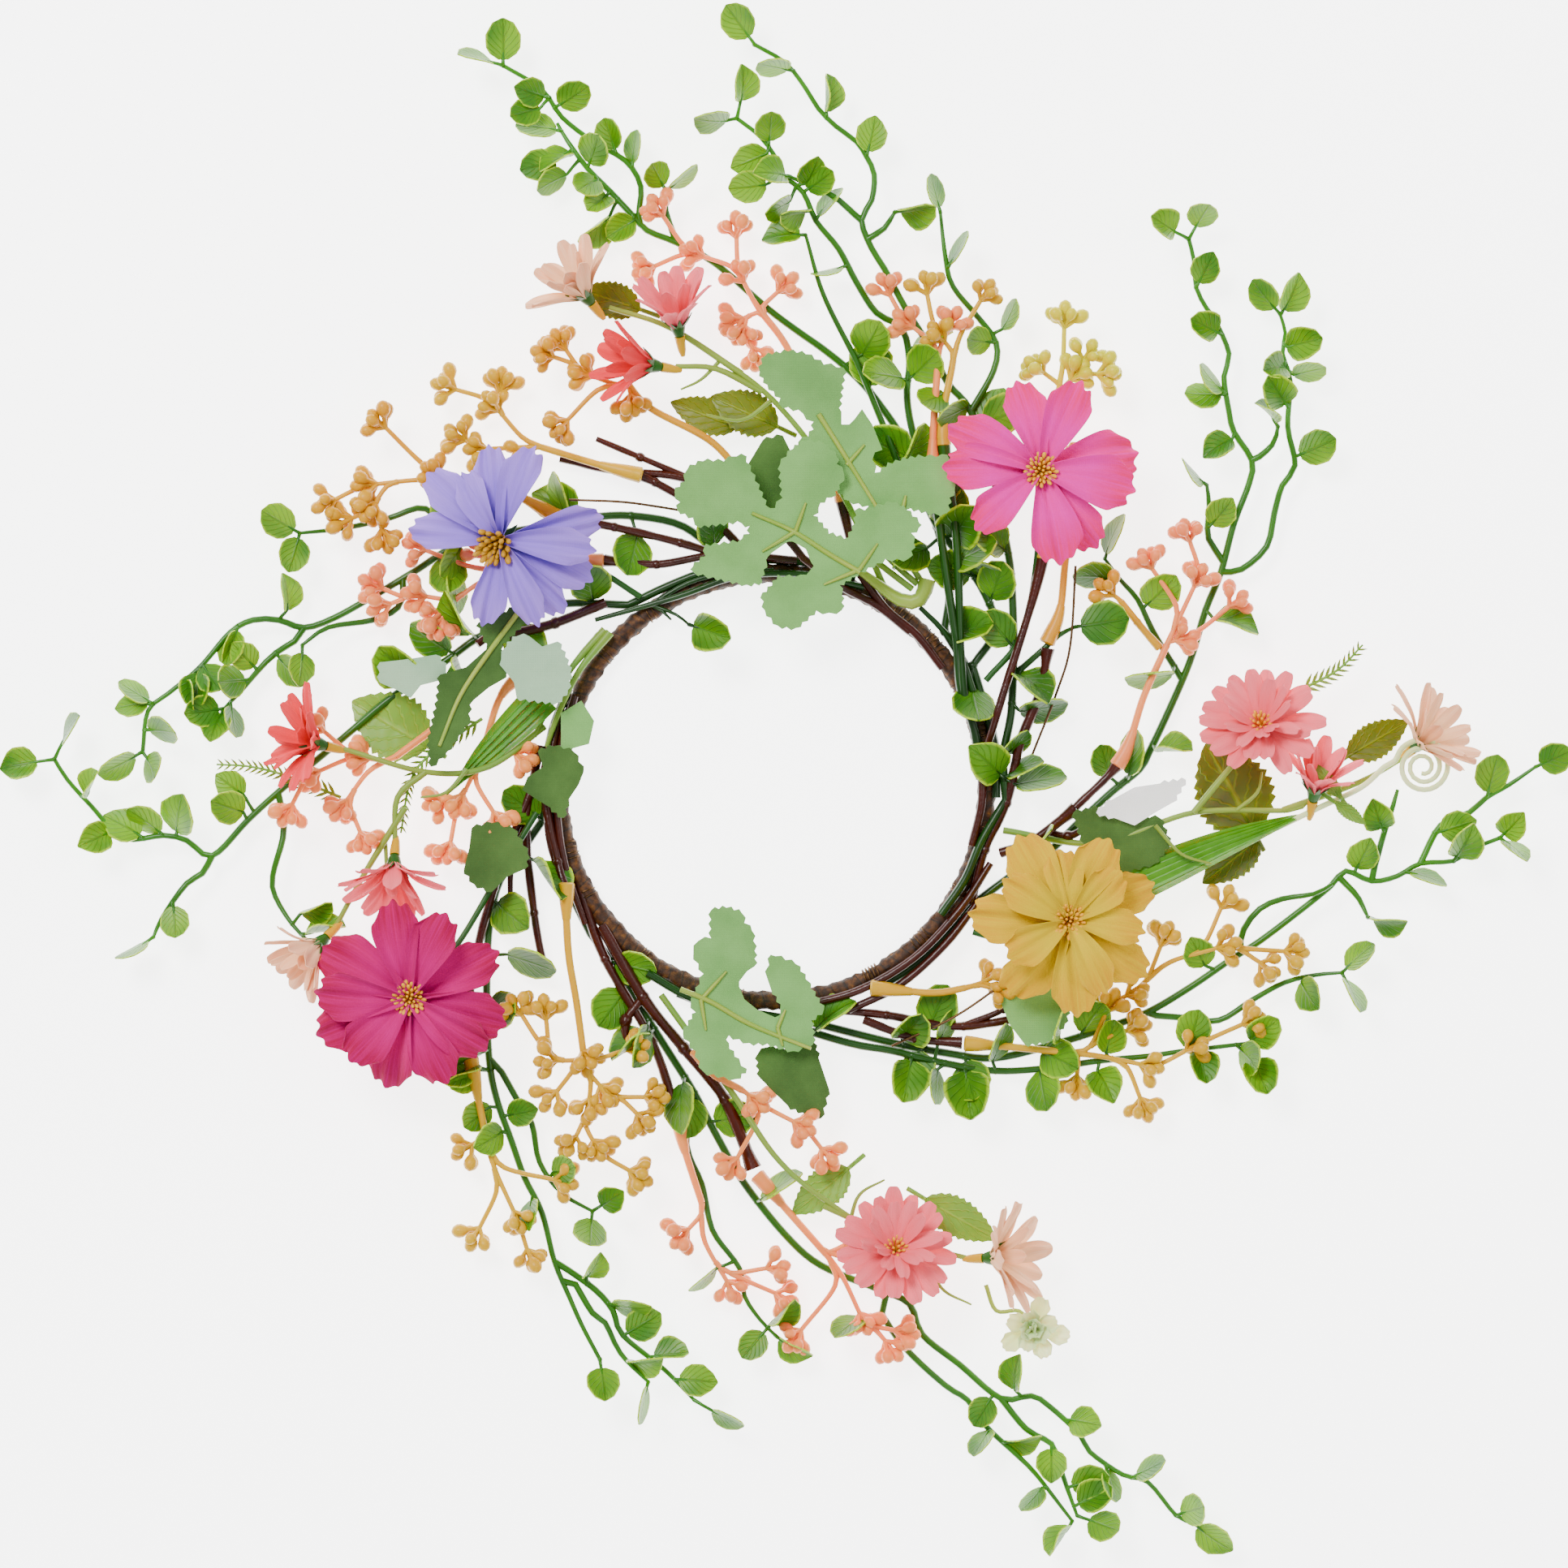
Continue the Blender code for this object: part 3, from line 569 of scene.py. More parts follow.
@dataclass(frozen=True)
class LeafPlastic:
    """Moulded polyethylene leaf: pressed midrib and side veins, a paler rim, patches of lighter green, and painted
    shade on the leaves nearest the hoop.
    """

    name: str
    deep: str
    light: str
    rim: str
    vein: str
    veins: float = 6.0  # side veins on each side
    shade_by_hoop: str = "#FFFFFF"  # the colour that multiplies the leaves nearest the hoop: painted shade
    vein_depth: float = 0.00022
    roughness: float = 0.4

    def build(self) -> bpy.types.Material:
        """The material, whose veins follow the leaf's own UV map."""
        material, tree, shader = blank(
            self.name, Roughness=self.roughness, IOR=1.5, Specular_IOR_Level=0.3,
            Subsurface_Weight=0.08, Subsurface_Scale=0.002,
        )
        coords = add_node(tree, "TexCoord")
        split = add_node(tree, "SeparateXYZ", {}, {0: coords.outputs["UV"]})
        off = add_node(tree, "Math", {"operation": "SUBTRACT", 1: 0.5}, {0: split})
        side = add_node(tree, "Math", {"operation": "ABSOLUTE"}, {0: off})
        patch = add_node(tree, "TexNoise", {"Scale": 42.0, "Detail": 2.0}, {"Vector": coords.outputs["Object"]})
        spread = add_node(tree, "MapRange", {"From Min": 0.36, "From Max": 0.64}, {"Value": patch})
        body = mix(tree, "MIX", spread, self.deep, self.light)
        away = add_node(tree, "VectorMath", {"operation": "LENGTH"}, {0: coords.outputs["Object"]}).outputs["Value"]
        # Painted shade: leaves within 0.19 m of the hoop's middle are multiplied, up to 0.8, by the colour given for
        # the hoop.
        shade = add_node(tree, "MapRange", {"From Min": 0.19, "From Max": 0.11, "To Max": 0.8}, {"Value": away})
        body = mix(tree, "MULTIPLY", shade, body, self.shade_by_hoop)
        edge = add_node(tree, "MapRange", {"From Min": 0.43, "From Max": 0.5}, {"Value": side})
        rimmed = mix(tree, "MIX", edge, body, self.rim)
        slant = add_node(tree, "Math", {"operation": "MULTIPLY_ADD", 1: -0.9}, {0: side, 2: split.outputs["Y"]})
        wave = add_node(tree, "Math", {"operation": "MULTIPLY", 1: self.veins * math.tau}, {0: slant})
        ridge = add_node(tree, "Math", {"operation": "SINE"}, {0: wave})
        sharp = add_node(tree, "MapRange", {"From Min": 0.72, "From Max": 1.0}, {"Value": ridge})
        rib = add_node(tree, "MapRange", {"From Min": 0.05, "From Max": 0.015, "To Max": 1.6}, {"Value": side})
        veins = add_node(tree, "Math", {"operation": "MAXIMUM"}, {0: sharp, 1: rib})
        dim = add_node(tree, "Math", {"operation": "MULTIPLY", 1: 0.3}, {0: veins})
        bump = add_node(tree, "Bump", {"Distance": self.vein_depth, "Strength": 0.8}, {"Height": veins})
        paint(tree, shader, mix(tree, "MIX", dim, rimmed, self.vein), bump)
        return material


@dataclass(frozen=True)
class PetalCloth:
    """Heat-formed polyester petal, airbrushed from throat to rim: dull, with dye streaks along its threads."""

    name: str
    throat: str
    middle: str
    rim: str
    streak: str
    rim_from: float = 0.62
    thread_mm: float = 0.7  # drawn coarse, so that the weave shows: the real threads are 0.25 mm apart

    def build(self) -> bpy.types.Material:
        """The material, whose colour runs along the petal's own UV map."""
        material, tree, shader = blank(
            self.name, Roughness=0.82, Sheen_Weight=0.04, Sheen_Roughness=0.5, Specular_IOR_Level=0.12
        )
        coords = add_node(tree, "TexCoord")
        place = coords.outputs["Object"]
        split = add_node(tree, "SeparateXYZ", {}, {0: coords.outputs["UV"]})
        cloud = add_node(tree, "TexNoise", {"Scale": 90.0, "Detail": 3.0}, {"Vector": place})
        along = add_node(tree, "Math", {"operation": "MULTIPLY_ADD", 1: 0.22}, {0: cloud, 2: split.outputs["Y"]})
        stops = [(0.12, self.throat), (0.3, self.middle), (self.rim_from, self.middle), (1.0, self.rim)]
        ramp = add_node(tree, "ValToRGB", {"stops": stops}, {0: along})
        stretch = add_node(tree, "Mapping", {"Scale": (26.0, 1.6, 1.0)}, {"Vector": coords.outputs["UV"]})
        dye = add_node(tree, "TexNoise", {"Scale": 1.0, "Detail": 4.0}, {"Vector": stretch})
        share = add_node(tree, "MapRange", {"From Min": 0.45, "From Max": 0.75, "To Max": 0.55}, {"Value": dye})
        paint(tree, shader, mix(tree, "MIX", share, ramp, self.streak), woven(tree, place, self.thread_mm))
        return material


def woven(tree: bpy.types.NodeTree, place: bpy.types.NodeSocket, thread_mm: float) -> bpy.types.Node:
    """The normal of a plain weave, from two crossed sets of threads.

    Args:
        tree: the material's tree.
        place: the coordinates' socket.
        thread_mm: the spacing of the threads.
    Returns:
        The node that gives the normal.
    """
    threads = []
    for way in ("X", "Y"):
        # A wave's bands repeat every 2 pi / 20 of a unit at scale 1.
        settings = {"bands_direction": way, "Scale": math.pi / 10 * 1000 / thread_mm, "Distortion": 0.6}
        threads.append(add_node(tree, "TexWave", settings, {"Vector": place}).outputs["Fac"])
    cloth = add_node(tree, "Math", {"operation": "MAXIMUM"}, {0: threads[0], 1: threads[1]})
    return add_node(tree, "Bump", {"Distance": 0.00012, "Strength": 0.5}, {"Height": cloth})


@dataclass(frozen=True)
class LeafCloth:
    """Die-cut woven polyester leaf, dyed one dusty green: dull, twill ribs, faint blotches of dye."""

    name: str
    light: str
    shade: str
    thread_mm: float = 0.9  # drawn coarse: the real threads are 0.3 mm apart

    def build(self) -> bpy.types.Material:
        """The material."""
        material, tree, shader = blank(
            self.name, Roughness=0.85, Sheen_Weight=0.05, Sheen_Roughness=0.5, Specular_IOR_Level=0.15
        )
        place = add_node(tree, "TexCoord").outputs["Object"]
        cloud = add_node(tree, "TexNoise", {"Scale": 55.0, "Detail": 5.0}, {"Vector": place})
        spread = add_node(tree, "MapRange", {"From Min": 0.35, "From Max": 0.68}, {"Value": cloud})
        paint(tree, shader, mix(tree, "MIX", spread, self.light, self.shade), woven(tree, place, self.thread_mm))
        return material


@dataclass(frozen=True)
class CrepeTape:
    """Waxed crepe-paper floral tape: dull brown, fine creases across its length, waxy streaks, and painted shade at the
    step of each turn.
    """

    name: str = "wound_crepe_paper_tape"
    turns: float = 95.0  # turns of tape round the hoop, as WrappedHoop winds them

    def build(self) -> bpy.types.Material:
        """The material, whose painted shade at each turn's step follows the ring's UV map."""
        material, tree, shader = blank(self.name, Roughness=0.62, Specular_IOR_Level=0.3)
        coords = add_node(tree, "TexCoord")
        place = coords.outputs["Object"]
        patches = add_node(tree, "TexNoise", {"Scale": 420.0, "Detail": 5.0}, {"Vector": place})
        stops = [(0.3, "#1A0800"), (0.46, "#361A02"), (0.6, "#4C2A04"), (0.8, "#7A4C10")]
        ramp = add_node(tree, "ValToRGB", {"stops": stops}, {0: patches})
        split = add_node(tree, "SeparateXYZ", {}, {0: coords.outputs["UV"]})
        lap = {"operation": "MULTIPLY_ADD", 1: self.turns}
        wound = add_node(tree, "Math", lap, {0: split, 2: split.outputs["Y"]})
        share = add_node(tree, "Math", {"operation": "FRACT"}, {0: wound})
        # Painted shade: each turn darkens towards #170C04 at the step where the next turn's edge lies on it.
        lap_step_shade = add_node(tree, "MapRange", {"From Min": 0.8, "From Max": 0.99}, {"Value": share})
        creases = add_node(tree, "TexNoise", {"Scale": 900.0, "Detail": 4.0}, {"Vector": place})
        bump = add_node(tree, "Bump", {"Distance": 0.0003, "Strength": 0.7}, {"Height": creases})
        paint(tree, shader, mix(tree, "MIX", lap_step_shade, ramp, "#170C04"), bump)
        return material


@dataclass(frozen=True)
class DrawnWire:
    """Drawn iron wire: bright or annealed dark, a satin metal with faint specks."""

    name: str
    colour: str
    roughness: float

    def build(self) -> bpy.types.Material:
        """The material."""
        material, tree, shader = blank(self.name, Roughness=self.roughness, Metallic=1.0)
        place = add_node(tree, "TexCoord").outputs["Object"]
        specks = add_node(tree, "TexNoise", {"Scale": 600.0, "Detail": 3.0}, {"Vector": place})
        paint(tree, shader, mix(tree, "MULTIPLY", specks, self.colour, "#8A8078"))
        return material


class Finish(Enum):
    """Every finish of the crown; each is built once."""

    VINE = MouldedPlastic("moulded_polyethylene_vine", "#082A00", "#347800", "#0E4200", 0.32)
    LEAF = LeafPlastic("moulded_polyethylene_leaf", "#316D00", "#6EA400", "#A4C91A", "#245400", shade_by_hoop="#9CBD6C")
    TWIG = MouldedPlastic("moulded_polyethylene_twig", "#380A00", "#4E1200", "#220400", 0.3, 0.0, 9.0, 0.0003)
    YELLOW = MouldedPlastic("moulded_yellow_berries", "#C89600", "#CAA200", "#C48A00", 0.4, 0.08)
    ORANGE = MouldedPlastic("moulded_orange_berries", "#CA8C00", "#CC9600", "#C87C00", 0.4, 0.08)
    PEACH = MouldedPlastic("moulded_peach_berries", "#F0913E", "#EF8347", "#ED784B", 0.4, 0.12, 30.0)
    PINK = MouldedPlastic("moulded_pink_berries", "#F08B44", "#F07F4D", "#EC6D4B", 0.4, 0.12, 30.0)
    LIME = MouldedPlastic("moulded_lime_berries", "#D2B000", "#D0C600", "#BCC200", 0.4, 0.08)
    STALK = MouldedPlastic("moulded_flower_stalk", "#5E8A2E", "#94A53A", "#7E8A2A", 0.42)
    CALYX = MouldedPlastic("moulded_calyx", "#164C08", "#226412", "#0E3804", 0.45)
    STAMEN = MouldedPlastic("flocked_stamens", "#E9A61C", "#F6BE2A", "#C98516", 0.6, 0.1, 3.0)
    MUSTARD = MouldedPlastic("flocked_mustard_stamens", "#B98614", "#CC981C", "#8E6410", 0.6, 0.1, 3.0)
    RIB = MouldedPlastic("moulded_leaf_rib", "#7E9A30", "#8EAA3C", "#A4A848", 0.42)
    PALE = MouldedPlastic("moulded_pale_tendril", "#D5E6A6", "#DDEBB4", "#BBD888", 0.42, 0.2)
    GRASS = MouldedPlastic("extruded_grass", "#418503", "#5B9E03", "#296103", 0.36, 0.05, 7.0, 0.0002)
    HOT_PINK = PetalCloth("airbrushed_pink_petal_cloth", "#E11098", "#E10F98", "#E10267", "#E124B2", 0.6)
    MAGENTA = PetalCloth("airbrushed_magenta_petal_cloth", "#C60282", "#B70267", "#9D0241", "#C6027B", 0.5)
    SUNFLOWER = PetalCloth("airbrushed_yellow_petal_cloth", "#CCB000", "#CCAC00", "#CE9800", "#D2BE08", 0.5)
    LILAC = PetalCloth("dyed_lilac_petal_cloth", "#785AC4", "#8E6ED4", "#9876D7", "#8364CD", 0.6)
    ROSE = PetalCloth("airbrushed_rose_petal_cloth", "#F14558", "#F16672", "#F1717A", "#F15262", 0.45)
    CORAL = PetalCloth("airbrushed_coral_petal_cloth", "#E41F2D", "#E42F38", "#E43D44", "#E42330", 0.5)
    BLUSH = PetalCloth("dyed_blush_petal_cloth", "#F1C798", "#F1BF93", "#F1AD85", "#F1D8B5", 0.5)
    SAGE = LeafCloth("dyed_sage_leaf_cloth", "#74A75A", "#64964D")
    DEEP_SAGE = LeafCloth("dyed_deep_sage_leaf_cloth", "#486830", "#365224")
    PALE_SAGE = LeafCloth("dyed_pale_sage_leaf_cloth", "#9CBE9A", "#8CB08C")
    BARE_CLOTH = LeafCloth("undyed_leaf_cloth", "#FFFFFF", "#F6F8F4")
    OLIVE = LeafPlastic("moulded_olive_leaf", "#465502", "#5F6E02", "#6D7B02", "#7F9106", 5.0, vein_depth=0.0003)
    FRESH = LeafPlastic("moulded_fresh_leaf", "#619224", "#74A331", "#6C9B25", "#8CB142", 5.0, vein_depth=0.0003)
    TAPE = CrepeTape()
    DARK_WIRE = DrawnWire("annealed_florist_wire", "#6E5236", 0.42)
    STEEL = DrawnWire("drawn_steel_hoop_wire", "#C4C4C2", 0.3)

    def material(self) -> bpy.types.Material:
        """The finish's material, built when it is first asked for."""
        return bpy.data.materials.get(self.value.name) or self.value.build()


# ---------------------------------------------------------------- shapes modelled once


class Shapes:
    """The templates that are modelled once and copied."""

    def __init__(self) -> None:
        """Models every template."""
        self.leaves = [self.vine_leaf(k) for k in range(6)]
        self.berry = turned(
            "berry",
            8,
            [(0.0, 0.0010), (0.0040, 0.0009), (0.0052, 0.0018), (0.0066, 0.0026), (0.0084, 0.0027), (0.0099, 0.0020),
             (BERRY_LENGTH, 0.0006)],
        )
        self.stamen = turned(
            "stamen", 6, [(0.0, 0.00045), (0.0052, 0.00055), (0.0063, 0.00085), (0.0075, 0.0007), (0.0080, 0.0002)]
        )
        self.knuckle = turned(
            "knuckle", 8,
            [(-0.0022, 0.0008), (-0.0012, 0.0017), (0.0, KNUCKLE_RADIUS), (0.0012, 0.0017), (0.0022, 0.0008)],
        )
        self.cosmos = [self.cosmos_petal(k) for k in range(4)]
        self.daisy = [self.daisy_petal(k) for k in range(3)]
        sepal = blade("sepal", 2, 0.008, [(0.0034, 0), (0.0030, 0.0004), (0.0018, 0.001), (0.0003, 0.002)])
        self.sepal = thicken(sepal, 0.0004, 1)
        self.needle = thicken(blade("needle", 2, 0.006, [(0.0009, 0), (0.0014, 0.0003), (0.0003, 0.0012)]), 0.0003)

    def vine_leaf(self, kind: int) -> bpy.types.Object:
        """A small oval leaf with a pointed, toothed end.

        Args:
            kind: which of the six cups and curls it has.
        Returns:
            The leaf.
        """
        widths = (0.0036, 0.0096, 0.0122, 0.0126, 0.0116, 0.0094, 0.0062, 0.0008)
        length = LEAF_LENGTH
        curl = (0.0006, -0.0012, 0.0022, -0.0026, 0.0010, -0.0034)[kind]
        rows = [(w, curl * (k / 7) ** 2) for k, w in enumerate(widths)]
        obj = blade(f"vine_leaf_{kind}", 4, length, rows)
        cup = (0.16, 0.34, -0.14, 0.22, 1.3, 0.9)[kind]
        rng = Random(kind)
        teeth = [0.0008 * rng.uniform(0.3, 1) for _ in range(9)]

        def form(place: Vector) -> Vector:
            """Where a vertex of the flat blade goes."""
            row = round(place.y / length * 7)
            out = abs(place.x) / (widths[row] / 2)
            tooth = teeth[row] * (1 if out > 0.9 and row in (4, 5, 6) else 0)
            side = math.copysign(tooth, place.x)
            return Vector((place.x + side, place.y + tooth * 0.8, place.z + cup * abs(place.x) ** 1.5 * 8))

        sculpt(obj, form)
        return thicken(obj, 0.00055)

    def cosmos_petal(self, kind: int) -> bpy.types.Object:
        """A broad petal with three ragged lobes at its rim and pressed folds.

        Args:
            kind: which of the four curls it has.
        Returns:
            The petal.
        """
        length = 0.0345
        widths = (0.0046, 0.0084, 0.0118, 0.0150, 0.0180, 0.0206, 0.0226, 0.0234, 0.0226, 0.0196)
        last = len(widths) - 1
        curl = (0.0006, -0.0040, 0.0030, -0.0070)[kind]
        rows = [(w, curl * (k / last) ** 2 + 0.0040 * math.sin(math.pi * k / last)) for k, w in enumerate(widths)]
        obj = blade(f"cosmos_petal_{kind}", 12, length, rows)
        rng = Random(40 + kind)
        phase = rng.uniform(0, math.tau)
        ragged = [rng.uniform(-0.0012, 0.0006) for _ in range(13)]

        def form(place: Vector) -> Vector:
            """Where a vertex of the flat blade goes."""
            along = place.y / length
            width = widths[min(last, round(along * last))]
            across = place.x / (width / 2)
            lobes = 0.0014 * math.cos(across * 3 * math.pi) - 0.0060 * across**2
            y = place.y + (lobes + ragged[round((across + 1) * 6)]) * along**6
            fold = 0.0010 * math.cos(across * 3 * math.pi + phase) * along
            ruffle = 0.0018 * math.sin(across * 6 + phase * 2) * along**4
            trough = 0.0040 * across**2 * (1 - along * 0.6)
            return Vector((place.x, y, place.z + fold + ruffle + trough))

        sculpt(obj, form)
        return thicken(obj, 0.0003, 1)

    def daisy_petal(self, kind: int) -> bpy.types.Object:
        """A long round-ended petal with two grooves.

        Args:
            kind: which of the three curls it has.
        Returns:
            The petal.
        """
        length = 0.0225
        widths = (0.0026, 0.0040, 0.0054, 0.0066, 0.0073, 0.0075, 0.0068, 0.0038)
        curl = (0.0010, -0.0030, 0.0035)[kind]
        rows = [(w, curl * (k / 7) ** 2 + 0.0012 * math.sin(math.pi * k / 7)) for k, w in enumerate(widths)]
        obj = blade(f"daisy_petal_{kind}", 4, length, rows)

        def form(place: Vector) -> Vector:
            """Where a vertex of the flat blade goes."""
            groove = 0.0005 * math.cos(place.x / 0.0032 * math.tau)
            return Vector((place.x, place.y, place.z + groove - abs(place.x) * 0.25))

        sculpt(obj, form)
        return thicken(obj, 0.0003, 1)

    def discard(self) -> None:
        """Takes the templates out of the scene."""
        for obj in (*self.leaves, self.berry, self.stamen, self.knuckle, *self.cosmos, *self.daisy, self.sepal,
                    self.needle):
            bpy.data.objects.remove(obj)


# ---------------------------------------------------------------- the hoop


@dataclass
class WrappedHoop:
    """The steel hoop, the crepe tape wound round it and the fine wire that binds the stems on."""

    layout: Layout
    tape_width: float = 0.0056  # metres of hoop that one turn of tape covers
    step: float = 0.0009  # how high one turn stands on the one before
    wire_radius: float = 0.00038
    dense_bearings: Sequence[float] = (-64.0, 4.0)

    def tape(self) -> None:
        """The tape: a ring whose skin climbs and drops once for each turn, flat where it rests."""
        ring, tape = self.layout.ring_radius, self.layout.tape_radius
        turns = round(math.tau * ring / self.tape_width)
        deselect()
        bpy.ops.mesh.primitive_torus_add(
            major_segments=turns * 12, minor_segments=20, major_radius=ring, minor_radius=tape, location=(0, 0, tape)
        )
        obj = bpy.context.object
        obj.name = "tape_turns"
        bpy.ops.object.transform_apply(location=True)

        def wind(place: Vector) -> Vector:
            """Where a vertex of the smooth ring goes on the wound tape."""
            bearing = math.atan2(place.y, place.x)
            across = Vector((math.hypot(place.x, place.y) - ring, place.z - tape))
            swing = math.atan2(across.y, across.x)
            slant = (bearing / math.tau * turns + swing / math.tau) % 1.0
            lump = noise.noise(place * 200) * 0.0004 + noise.noise(place * 60) * 0.0003
            squeeze = min(abs(math.degrees(bearing) - b - 2) for b in self.dense_bearings)
            waist = 0.0008 * max(0.0, 1 - (squeeze / 4) ** 2)
            radius = tape - 0.0004 - self.step * slant + lump - waist
            out = ring + radius * math.cos(swing)
            height = max(0.00005, tape + radius * math.sin(swing))
            return toward(bearing) * out + UP * height

        sculpt(obj, wind)
        bpy.ops.object.shade_smooth_by_angle(angle=math.radians(40))
        settle(obj, Finish.TAPE, "tape_wrap")

    def coil(self, start: float, turns: float, pitch: float, over: float) -> list[Vector]:
        """The points of one coil of wire.

        Args:
            start: its first bearing in degrees.
            turns: how many times it goes round.
            pitch: metres along the hoop for each turn.
            over: metres from the middle of the tape to the wire.
        Returns:
            The points.
        """
        ring, tape = self.layout.ring_radius, self.layout.tape_radius
        points = []
        for k in range(round(turns * 20) + 1):
            swing = math.tau * k / 20
            along = math.radians(start) + k / 20 * pitch / ring
            out = ring + over * math.cos(swing)
            height = max(self.wire_radius, tape + over * math.sin(swing))
            points.append(toward(along) * out + UP * height)
        return points

    def wires(self) -> None:
        """The dense bindings that the frame holds, and the loose turns between them."""
        tape = self.layout.tape_radius
        for node, start, turns in (("binding_wire_bottom", -64.4, 5), ("binding_wire_right", 3.6, 4)):
            run = self.coil(start, turns, 0.0014, tape - 0.0005)
            settle(rods(node + "_turns", [(run, [self.wire_radius])], 1), Finish.DARK_WIRE, node)
        rng = Random(7)
        loose = []
        for start in (-150, -128, -100, -84, -45, -28, -12, 14, 22, 30, 38, 47, 58, 120, 140, 160, 178, 196):
            run = self.coil(start + rng.uniform(-4, 4), rng.choice((2, 3, 4)), 0.0022, tape - 0.0007)
            loose.append((run, [0.0003]))
        settle(rods("loose_wire_turns", loose, 1), Finish.DARK_WIRE)

    def build(self) -> None:
        """Makes the tape and wires, and dresses the steel hoop."""
        self.tape()
        self.wires()
        hoop = bpy.data.objects["core_hoop"]
        for holder in hoop.material_slots:
            holder.material = Finish.STEEL.material()


# ---------------------------------------------------------------- vines


class Part:
    """A sub-assembly, which has the places, the templates and its random draws at hand while it is made."""

    layout: Layout
    shapes: Shapes
    rng: Random

    def build(self, layout: Layout, shapes: Shapes, rng: Random) -> None:
        """Makes and dresses the sub-assembly.

        Args:
            layout: the places on the hoop.
            shapes: the templates to copy.
            rng: draws the small differences.
        """
        self.layout, self.shapes, self.rng = layout, shapes, rng
        self.make()

    def make(self) -> None:
        """Makes the pieces and dresses them; each kind of sub-assembly has its own way."""
        raise NotImplementedError


@dataclass
class Vine(Part):
    """A moulded vine: a stem that thins towards its tip, side stems, knuckles, and leaves on short stalks."""

    node: str
    tip_height: float  # millimetres
    stems: list[list[Spot]]
    leaves: list[Spot]
    big: list[Spot] = field(default_factory=list)
    radius: float = 1.75  # millimetres at the root
    cad: bool = True
    height: float = 0.0  # millimetres, where no CAD node gives it
    fill: float = 0.42  # how often a knuckle near the hoop bears one more leaf
    crowded: float = 0.165  # metres from the hoop's middle within which it can
    on_edge: float = 0.36  # the share of leaves that stand nearly on edge

    def rise(self, line: list[Vector], start: float, end: float, phase: float) -> list[Vector]:
        """Lifts a flat line from one height to another with a slow wave on the way.

        Args:
            line: the points, which are moved.
            start: millimetres at the root.
            end: millimetres at the tip.
            phase: where the wave starts, in radians.
        Returns:
            The same points.
        """
        last = len(line) - 1
        for k, point in enumerate(line):
            share = k / last
            wave = 1.1 * math.sin(share * 9 + phase) * min(1, share * 3)
            point.z = max(1.8, start + (end - start) * share**1.4 + wave) * MM
        return line

    def make(self) -> None:
        """Makes the stems as one piece and the leaves as another."""
        level = self.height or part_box(self.node)[0][2] / MM + self.radius
        lines: list[list[Vector]] = []
        runs = []
        for k, stem in enumerate(self.stems):
            line = smooth_line([self.layout.at(x, y) for x, y in stem])
            start, first = level, self.radius
            if k:
                foot = min((p for old in lines for p in old), key=lambda p: (p.xy - line[0].xy).length)
                line[0].x, line[0].y = foot.x, foot.y
                start, first = foot.z / MM, self.radius * 0.8
            self.rise(line, start, self.tip_height + self.rng.uniform(-2, 2), self.rng.uniform(0, 6))
            lines.append(line)
            tail = [] if k else smooth_line([*root_tail(self.layout, line[0], level * MM), line[0]])[:-1]
            runs.append((tail + line, [first * share * MM for share in (1.0, 0.96, 0.88, 0.76, 0.5)]))
        leaves = []
        knuckles = []
        extra = []
        for point in lines[0][4::4]:
            if point.xy.length < self.crowded and self.rng.random() < self.fill:
                side = self.rng.choice((-1, 1)) * self.rng.uniform(7, 12)
                away = point.xy.normalized()
                extra.append((point.x / MM - away.y * side + away.x * 4, point.y / MM + away.x * side + away.y * 4))
        for x, y in self.leaves + self.big + extra:
            size = self.rng.uniform(0.88, 1.12) * (1.0 if (x, y) in self.leaves else 1.28)
            stalk, placing, foot = self.leaf(self.layout.at(x, y), lines, size)
            runs.append(stalk)
            leaves.append((self.rng.choice(self.shapes.leaves), placing))
            knuckles.append((self.shapes.knuckle, foot))
        stems = rods(self.node + "_bars", runs)
        joints = stamped(self.node + "_joints", knuckles)
        node = self.node if self.cad else ""
        settle(joined(self.node + "_stems", [stems, joints]), Finish.VINE, node)
        settle(stamped(self.node + "_leaves", leaves), Finish.LEAF)

    def leaf(self, middle: Vector, lines: list[list[Vector]], size: float) -> tuple[Run, Matrix, Matrix]:
        """One leaf: its stalk, its placing and the placing of the knuckle that it grows from.

        Args:
            middle: the middle of the leaf, seen from above.
            lines: the stems.
            size: the leaf's scale.
        Returns:
            The stalk's run, the leaf's matrix and the knuckle's.
        """
        line = min(lines, key=lambda old: min((p.xy - middle.xy).length for p in old))
        k = min(range(len(line)), key=lambda i: (line[i].xy - middle.xy).length)
        foot = line[k]
        forward = (line[min(k + 1, len(line) - 1)] - line[max(k - 1, 0)]).normalized()
        out = middle - foot
        out.z = 0
        length = LEAF_LENGTH * size
        if out.length < length * 0.3:
            side = Vector((-forward.y, forward.x, 0)) * self.rng.choice((-1, 1))
            out = (side + forward * 0.8).normalized() * max(out.length, 0.001)
        heading = (out.normalized() + forward * 0.25 * (1 if k < len(line) - 2 else 0)).normalized()
        tilt = self.rng.uniform(0.05, 0.85)
        along = Vector((heading.x, heading.y, 0)).normalized() * math.cos(tilt) + UP * math.sin(tilt)
        base = Vector((middle.x, middle.y, 0)) - Vector((heading.x, heading.y, 0)).normalized() * length * 0.5
        reach = base.xy - foot.xy
        if reach.length > LONGEST_LEAF_STALK:
            base.xy = foot.xy + reach.normalized() * LONGEST_LEAF_STALK
        if self.rng.random() < self.on_edge:
            roll = self.rng.choice((-1, 1)) * self.rng.uniform(0.9, 1.3)
        else:
            roll = self.rng.gauss(0, 0.4)
        base.z = foot.z + 0.0012
        if (base.xy - foot.xy).length < 0.0015 or (base - foot).dot(heading) < 0:
            base = foot + heading * 0.0022 + UP * 0.001
